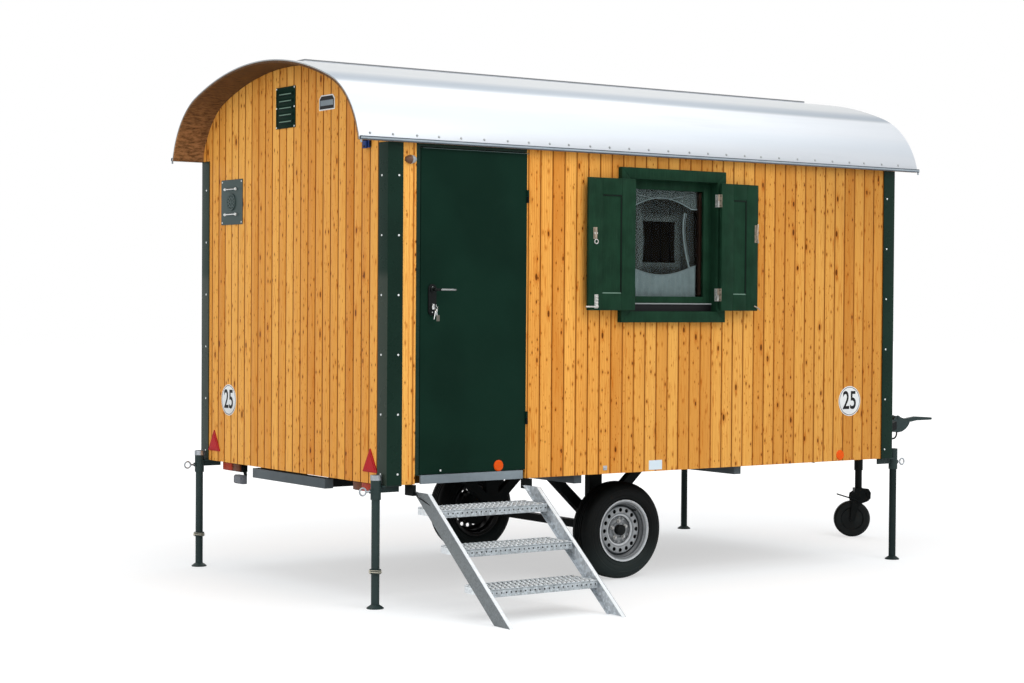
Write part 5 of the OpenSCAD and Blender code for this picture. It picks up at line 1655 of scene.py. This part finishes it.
def vented_disc(bm, profile, hub, axis):
    """Pressed sheet turned about the hub, with a ring of round vents through one band of its profile."""
    columns, thick = 8, 0.004
    inner_edge, outer_edge = VENT_BAND
    middle = (inner_edge + outer_edge) / 2
    place = Matrix.Translation(hub) @ turned(axis)
    home = place.inverted()
    lathe(bm, profile, hub, axis, VENTS * columns)
    cells = {}
    for face in bm.faces:
        spot = home @ face.calc_center_median()
        if inner_edge < spot.xy.length < outer_edge:
            turn = math.atan2(spot.y, spot.x) / (2 * math.pi) * VENTS
            cells.setdefault(round(turn) % VENTS, []).append(face)
    holes = {
        vent * 2 * math.pi / VENTS: bmesh.ops.dissolve_faces(bm, faces=faces, use_verts=False)["region"][0]
        for vent, faces in sorted(cells.items())
    }
    bmesh.ops.inset_individual(bm, faces=list(holes.values()), thickness=0.001, use_even_offset=True)
    for angle, hole in holes.items():
        for vert in hole.verts:
            spot = home @ vert.co
            aside = math.remainder(math.atan2(spot.y, spot.x) - angle, 2 * math.pi) * middle
            way = math.atan2(spot.xy.length - middle, aside)
            reach = middle + VENT_RADIUS * math.sin(way)
            turn = angle + VENT_RADIUS * math.cos(way) / middle
            inner, outer = next(pair for pair in zip(profile, profile[1:]) if pair[0][0] <= reach <= pair[1][0])
            share = (reach - inner[0]) / (outer[0] - inner[0])
            height = inner[1] + (outer[1] - inner[1]) * share
            vert.co = place @ Vector((reach * math.cos(turn), reach * math.sin(turn), height))
    bmesh.ops.delete(bm, geom=list(holes.values()), context="FACES_ONLY")
    bmesh.ops.recalc_face_normals(bm, faces=bm.faces)
    if sum(face.normal.dot(Vector(axis)) for face in bm.faces) > 0:
        bmesh.ops.reverse_faces(bm, faces=bm.faces)
    bmesh.ops.solidify(bm, geom=list(bm.faces), thickness=thick)


def mirrored(profile, wide):
    """Profile followed by its mirror image at the other side of the wheel."""
    return [*profile, *[(r, wide - h) for r, h in reversed(profile)]]


class TRAILER_OT_wheels(bpy.types.Operator):
    """Turns the tyres, presses the discs and adds caps, nuts, drums and valves to the wheels"""

    bl_idname = "trailer.wheels"
    bl_label = "Wheels"

    def execute(self, context):
        for side, inward in (("near", 1), ("far", -1)):
            near = inward > 0
            body = side + "_wheel"
            low, high = near_box(side + "_tyre")
            wide = high.y - low.y
            radius = (high.z - low.z) / 2
            hub = at((low.x + high.x) / 2, low.y if near else high.y, radius)
            axis = Vector((0, inward, 0))
            bead, groove = 0.1783, radius - 0.0078
            half = [(bead + out, depth) for out, depth in TYRE_SIDE]
            half += [(radius - 0.0032, 0.0420), (radius - 0.0018, 0.0500)]
            for middle in (0.066, 0.0835):
                half += [
                    (radius - 0.0006, middle - 0.0060), (groove, middle - 0.0045), (groove, middle + 0.0035),
                    (radius - 0.0002, middle + 0.0050),
                ]
            tyre = mirrored(half, wide)
            bm = bmesh.new()
            lathe(bm, [*tyre, tyre[0]], hub, axis, 128)
            finish_piece(side + "_tread", bm, "Tyre Rubber", (side + "_tyre",), body, 28.0)

            rim_low, rim_high = near_box(side + "_rim")
            flange = (rim_high.x - rim_low.x) / 2
            seat, well, skin = flange - 0.017, flange - 0.030, 0.005
            outside = [(flange, 0.010), (flange, 0.015), (seat, 0.022), (seat, 0.050), (well, 0.060), (well, wide / 2)]
            inside = [
                (well - skin, wide / 2), (well - skin, 0.062), (seat - skin, 0.052), (seat - skin, 0.020),
                (flange - skin, 0.014), (flange - skin, 0.010),
            ]
            bm = bmesh.new()
            vented_disc(bm, [*PRESSED_DISC, (well - 0.001, 0.0700)], hub, axis)
            barrel = mirrored(outside, wide) + [(r, wide - h) for r, h in reversed(inside)] + inside
            lathe(bm, [*barrel, barrel[0]], hub, axis, 128)
            lathe(bm, HUB_SLEEVE, hub, axis, 64)
            silver = "Wheel Silver" if near else "Wheel Shaded"
            finish_piece(side + "_disc", bm, silver, (side + "_rim",), body, 30.0)

            bm = bmesh.new()
            lathe(bm, HUB_CAP, hub, axis, 40)
            finish_piece(side + "_hub_cap", bm, "Black Plastic", body=body)
            bm = bmesh.new()
            for nut in range(5):
                angle = math.radians(72 * nut + 20)
                spot = hub + Vector((math.cos(angle), 0, math.sin(angle))) * 0.056
                for start, end, thick, tip, sides in (
                    (0.0585, 0.0712, 0.0105, 0.0105, 6), (0.0555, 0.0590, 0.0070, 0.0085, 12),
                    (0.0690, 0.0714, 0.0140, 0.0140, 24),
                ):
                    rod(bm, spot + axis * start, spot + axis * end, thick, tip, sides)
            finish_piece(side + "_nuts", bm, "Dull Steel", body=body)
            bm = bmesh.new()
            # On the near wheel the drum's flange reaches out to 0.165 as a dark sheet behind the vents, standing in for
            # shade there; the far drum keeps to 0.113.
            cover = 0.165 if near else 0.113
            drum = [
                (0.024, 0.100), (0.110, 0.100), (0.113, 0.103), (0.113, 0.145), (cover, 0.147), (cover, 0.150),
                (0.024, 0.150), (0.024, 0.100),
            ]
            lathe(bm, drum, hub, axis, 64)
            finish_piece(side + "_drum", bm, "Chassis Paint", body=body)
            bm = bmesh.new()
            stem = hub + Vector((0.1, 0, 0.122))
            rod(bm, stem + axis * 0.052, stem + axis * 0.030, 0.0055, 0.0042, 12)
            rod(bm, stem + axis * 0.030, stem + axis * 0.022, 0.0046, None, 12)
            finish_piece(side + "_valve", bm, "Black Plastic", body=body)
        return {"FINISHED"}


# Cheek of the coupling: distance from its rear end and height over the ball's centre
CHEEK = (
    (0.0, -0.004), (0.060, -0.012), (0.120, -0.018), (0.160, -0.012), (0.200, 0.008), (0.228, 0.034), (0.241, 0.056),
    (0.238, 0.066), (0.226, 0.072), (0.190, 0.076), (0.162, 0.084), (0.132, 0.104), (0.114, 0.112), (0.096, 0.106),
    (0.070, 0.080), (0.0, 0.058),
)


def bolt(bm, middle, way, half, thick, head, heads):
    """Round bolt through a middle, with a six-sided head or nut at both ends."""
    rod(bm, middle - way * half, middle + way * half, thick, None, 20)
    for side in (-1, 1):
        rod(bm, middle + way * heads[0] * side, middle + way * heads[1] * side, head, None, 6)


class TRAILER_OT_legs(bpy.types.Operator):
    """Adds the legs' rings and keepers, the coupling's shell and loop, and the jockey wheel's bolt"""

    bl_idname = "trailer.legs"
    bl_label = "Legs and Coupling"

    def execute(self, context):
        collar = 0.033
        for body in ("rear_near_leg", "rear_far_leg"):
            low, high = near_box(body)
            x, y = (low.x + high.x) / 2, (low.y + high.y) / 2
            bm = bmesh.new()
            ring(bm, at(x, y, 0.206), (0.10, 0.04, 1), collar + 0.0042, 0.0026, 40, 8)
            ring(bm, at(x, y, 0.216), (0.10, 0.04, 1), collar + 0.0036, 0.0018, 40, 8)
            block(bm, at(x - collar - 0.007, y - 0.004, 0.200), at(x - collar + 0.004, y + 0.004, 0.220), 0.002, 2)
            finish_piece(body + "_keeper", bm, "Bone", body=body)
        bm = bmesh.new()
        band = [(0.0246, 0.0), (0.0316, 0.0), (0.0316, 0.030), (0.0246, 0.030)]
        for y in (0.048, WIDTH - 0.048):
            lathe(bm, band, at(-0.044, y, near_box("leg_sleeves")[1].z - 0.0298), (0, 0, 1), 40)
        finish_piece("sleeve_bands", bm, "Zinc")

        rear = near_box("coupling_body")[0].x
        middle, ball_z = WIDTH / 2, 0.790
        slabs = (
            ((0.0, 0.058), (0.070, 0.060), (0.070, 0.054), (0.0, 0.052)),
            ((0.070, 0.060), (0.226, 0.046), (0.226, 0.040), (0.070, 0.054)),
        )
        bm = bmesh.new()
        for outline, y, thick in ((CHEEK, -0.028, 0.006), (CHEEK, 0.022, 0.006), *[(s, -0.022, 0.044) for s in slabs]):
            plate(bm, [at(rear + a, middle + y, ball_z + b) for a, b in outline], (0, thick, 0))
        pin = at(rear + 0.114, middle, ball_z + 0.094)
        bolt(bm, pin, Vector((0, 1, 0)), 0.031, 0.0048, 0.010, (0.0275, 0.0335))
        finish_piece("coupling_shell", bm, "Cast Grey", ("coupling_body",))
        bm = bmesh.new()
        ring(bm, at(rear + 0.088, middle, 0.764), (0, 1, 0), 0.040, 0.0062, 40, 12)
        finish_piece("safety_loop", bm, "Black Plastic")

        fork_turn = math.radians(-35.4)
        along = Vector((math.cos(fork_turn), math.sin(fork_turn), 0))
        aside = Vector((-math.sin(fork_turn), math.cos(fork_turn), 0))
        bm = bmesh.new()
        bolt(bm, at(4.886, middle, 0.316) + along * 0.068, aside, 0.026, 0.0086, 0.0140, (0.0204, 0.0290))
        finish_piece("jockey_bolt", bm, "Chassis Paint", body="jockey_fork")
        return {"FINISHED"}


class TRAILER_OT_steps(bpy.types.Operator):
    """Presses the serrated treads of the steps and folds their side channels"""

    bl_idname = "trailer.steps"
    bl_label = "Steps"

    def execute(self, context):
        low, high = near_box("step_treads")
        overlap = Vector((0.016, 0, 0))
        low, high = low - overlap, high + overlap
        slope = math.radians(39)
        rise, tall, deep, sunk, sheet = 0.195, 0.046, 0.240, 0.0065, 0.0025
        columns, lines = 23, 3
        treads = [(low.y + rise * row / math.tan(slope), low.z + tall + rise * row) for row in range(3)]
        long, slant, half_wide = 0.030, 0.42, 0.0074
        bm = bmesh.new()
        for front, top in treads:
            known = set(bm.faces)
            place = Matrix.Translation(at((low.x + high.x) / 2, front + deep / 2, top - sunk))
            grid = bmesh.ops.create_grid(
                bm, x_segments=columns, y_segments=lines, size=0.5,
                matrix=place @ Matrix.Diagonal((high.x - low.x, deep, 1, 1)),
            )
            faces = faces_of(grid["verts"])
            bmesh.ops.inset_individual(bm, faces=faces, thickness=0.004, use_even_offset=True)
            for face in set(bm.faces) - known:
                face.material_index = 2
            for face in faces:
                middle = face.calc_center_median()
                for vert in face.verts:
                    out = vert.co - middle
                    y = math.copysign(long, out.y)
                    vert.co = middle + Vector((y * slant + math.copysign(half_wide, out.x), y, 0))
            sides = bmesh.ops.inset_individual(bm, faces=faces, thickness=0.0016, use_even_offset=True)["faces"]
            for face in faces:
                for vert in face.verts:
                    vert.co.z += sunk + 0.0018
            tops = bmesh.ops.inset_individual(bm, faces=faces, thickness=0.0034, use_even_offset=True)["faces"]
            for face in sides + tops:
                face.material_index = 0
            bmesh.ops.delete(bm, geom=faces, context="FACES_ONLY")
        bmesh.ops.solidify(bm, geom=list(bm.faces), thickness=0.0022)
        for front, top in treads:
            foot = top - tall
            blocks(bm, [
                ((low.x, y, foot), (high.x, y + sheet, top - 0.001), 0.0008, 1, 3)
                for y in (front, front + deep - sheet)
            ])
            blocks(bm, [
                ((x, front + 0.002, foot), (x + sheet, front + deep - 0.002, top - 0.0012), 0.0006)
                for x in (low.x, high.x - sheet)
            ])
            for column in range(columns):
                x, z = low.x + (column + 0.5) * (high.x - low.x) / columns, top - 0.023
                rod(bm, at(x, front - 0.0004, z), at(x, front + 0.001, z), 0.0048, None, 10, 1)
        tones = ["Tread Zinc", "Print Black", "Tread Shade", "Lip Zinc"]
        finish_piece("pressed_treads", bm, tones, ("step_treads",), smooth=25.0)

        side_low, side_high = near_box("step_stringers")
        thin, flange, web = 0.004, 0.026, 0.090
        head, run = side_high.z, side_high.z / math.tan(slope)
        bm = bmesh.new()
        for outer, way in ((side_low.x, 1), (side_high.x, -1)):
            # Painted light: the outer half of each web is painted darker as shade, and the front flange lighter as a
            # highlight.
            for start, end, front, back, finish in (
                (0.0, thin * 0.5, 0.0, web, 1), (thin * 0.5, thin, 0.0003, web - 0.0003, 0),
                (thin, flange, 0.0, thin, 2), (thin, flange, web - thin, web, 0),
            ):
                x0, x1 = sorted((outer + way * start, outer + way * end))
                a, b = (side_low.y + out / math.sin(slope) for out in (front, back))
                outline = ((a, 0), (b, 0), (b + run, head), (a + run, head))
                plate(bm, [at(x0, y, z) for y, z in outline], (x1 - x0, 0, 0), finish)
        tones = ["Channel Zinc", "Web Zinc", "Flange Zinc"]
        finish_piece("step_channels", bm, tones, ("step_stringers",))

        hook = near_box("step_hooks")[0]
        x = hook.x + 0.012
        y, z = treads[2][0] + 0.05, treads[2][1]
        bm = bmesh.new()
        pipe(bm, [
            at(x, hook.y + 0.004, hook.z + 0.03), at(x, hook.y - 0.012, hook.z + 0.02),
            at(x + 0.002, hook.y - 0.03, hook.z - 0.004), at(x + 0.014, y + 0.01, z + 0.016),
            at(x + 0.03, y, z + 0.004),
        ], 0.0032, 8)
        finish_piece("step_keeper", bm, "Print Black")
        return {"FINISHED"}


class TRAILER_OT_stage(bpy.types.Operator):
    """Sets the floor, the lights and the camera"""

    bl_idname = "trailer.stage"
    bl_label = "Stage"

    def execute(self, context):
        scene = context.scene
        scene.view_settings.view_transform = "Standard"
        self.floor(scene)
        self.sky(scene)
        for name, spot, aim, size, power in (
            ("Key", (0.2, -10.0, 10.0), (0.0, 0.0, 1.6), 7.0, 560.0),
            ("Fill", (-11.0, -2.0, 6.0), (0.0, 0.0, 1.6), 7.0, 240.0),
            ("Sky Panel", (0.0, -0.5, 9.5), (0.0, -0.5, 0.0), 14.0, 640.0),
        ):
            light = bpy.data.lights.new(name, "AREA")
            light.size = size
            light.energy = power
            lamp = bpy.data.objects.new(name, light)
            scene.collection.objects.link(lamp)
            lamp.location = spot
            lamp.visible_camera = False
            lamp.rotation_euler = (Vector(aim) - Vector(spot)).to_track_quat("-Z", "Y").to_euler()
        self.camera(scene)
        return {"FINISHED"}

    def floor(self, scene):
        """Pale sheet that keeps the shadows and fades to white away from the trailer."""
        bm = bmesh.new()
        bmesh.ops.create_grid(bm, x_segments=4, y_segments=4, size=60.0, matrix=Matrix.Translation((0, 0, -0.0005)))
        mesh = bpy.data.meshes.new("floor_sheet")
        bm.to_mesh(mesh)
        bm.free()
        ground = bpy.data.objects.new("floor_sheet", mesh)
        scene.collection.objects.link(ground)
        finish = Finish("Pale Floor", Roughness=0.9, Specular_IOR_Level=0.1)
        x, y, _ = finish.split(finish.place)
        speck = finish.noise(60.0, 3.0)
        away = (x * x + y * y).maths("SQRT")
        finish.paint(finish.mix(speck * 0.3, (0.86, 0.88, 0.89), (0.83, 0.85, 0.86)))
        seen = Link(finish, finish.tree.nodes.new("ShaderNodeLightPath").outputs["Is Camera Ray"])
        white = finish.node("ShaderNodeEmission", sockets={"Color": (1.0, 1.0, 1.0), "Strength": 1.2})
        lit = Link(finish, finish.surface.outputs[0])
        finish.show(seen * (away.step(3.0, 6.0) * 0.55 + 0.45), lit, white)
        mesh.materials.append(finish.material)

    def sky(self, scene):
        """Soft light from all round that shows as plain white."""
        world = bpy.data.worlds.new("Soft Sky")
        scene.world = world
        world.use_nodes = True
        tree = world.node_tree
        sky = tree.nodes["Background"]
        sky.inputs[0].default_value = (0.93, 0.965, 1.0, 1.0)
        sky.inputs[1].default_value = 0.60
        plain = tree.nodes.new("ShaderNodeBackground")
        plain.inputs[0].default_value = (1.0, 1.0, 1.0, 1.0)
        plain.inputs[1].default_value = 1.0
        path = tree.nodes.new("ShaderNodeLightPath")
        seen = path.outputs["Is Camera Ray"]
        for ray in ("Is Glossy Ray", "Is Transmission Ray"):
            either = tree.nodes.new("ShaderNodeMath")
            either.operation = "MAXIMUM"
            tree.links.new(seen, either.inputs[0])
            tree.links.new(path.outputs[ray], either.inputs[1])
            seen = either.outputs[0]
        mixed = tree.nodes.new("ShaderNodeMixShader")
        for socket, source in zip(mixed.inputs, (seen, sky.outputs[0], plain.outputs[0])):
            tree.links.new(source, socket)
        tree.links.new(mixed.outputs[0], tree.nodes["World Output"].inputs["Surface"])

    def camera(self, scene):
        """Camera at standing height off the rear corner of the door side."""
        camera = bpy.data.cameras.new("Camera")
        camera.sensor_width = 36.0
        camera.lens = 71.66
        camera.clip_end = 500.0
        eye = bpy.data.objects.new("Camera", camera)
        scene.collection.objects.link(eye)
        yaw, pitch, roll = (math.radians(a) for a in (35.40, -1.14, 0.387))
        forward = Vector((math.sin(yaw) * math.cos(pitch), math.cos(yaw) * math.cos(pitch), math.sin(pitch)))
        right = Vector((math.cos(yaw), -math.sin(yaw), 0))
        up = right.cross(forward)
        rolled = right * math.cos(roll) + up * math.sin(roll)
        upright = up * math.cos(roll) - right * math.sin(roll)
        turn = Matrix((rolled, upright, -forward)).transposed().to_4x4()
        eye.matrix_world = Matrix.Translation(at(-6.1108, -9.8145, 1.7533)) @ turn
        scene.camera = eye


STEPS = (
    TRAILER_OT_finishes, TRAILER_OT_walls, TRAILER_OT_roof, TRAILER_OT_trims, TRAILER_OT_door, TRAILER_OT_window,
    TRAILER_OT_curtains, TRAILER_OT_shutters, TRAILER_OT_end_fittings, TRAILER_OT_lamps, TRAILER_OT_chassis,
    TRAILER_OT_signs, TRAILER_OT_wheels, TRAILER_OT_legs, TRAILER_OT_steps, TRAILER_OT_stage,
)


class TRAILER_PT_panel(bpy.types.Panel):
    """Sizes, colours and steps of the site trailer"""

    bl_idname = "TRAILER_PT_panel"
    bl_label = "Site Trailer"
    bl_space_type = "VIEW_3D"
    bl_region_type = "UI"
    bl_category = "Trailer"

    def draw(self, context):
        layout = self.layout
        for group in (context.scene.trailer_sizes, context.scene.trailer_colours):
            for name in group.__annotations__:
                layout.prop(group, name)
        for step in STEPS:
            layout.operator(step.bl_idname)


CLASSES = (TrailerSizes, TrailerColours, *STEPS, TRAILER_PT_panel)


def register():
    """Adds the classes and the settings."""
    for each in CLASSES:
        bpy.utils.register_class(each)
    bpy.types.Scene.trailer_sizes = bpy.props.PointerProperty(type=TrailerSizes)
    bpy.types.Scene.trailer_colours = bpy.props.PointerProperty(type=TrailerColours)


def unregister():
    """Takes the classes and the settings away."""
    del bpy.types.Scene.trailer_colours
    del bpy.types.Scene.trailer_sizes
    for each in reversed(CLASSES):
        bpy.utils.unregister_class(each)


def main():
    """Builds everything in order."""
    register()
    for step in STEPS:
        family, name = step.bl_idname.split(".")
        getattr(getattr(bpy.ops, family), name)()


if __name__ == "__main__":
    main()
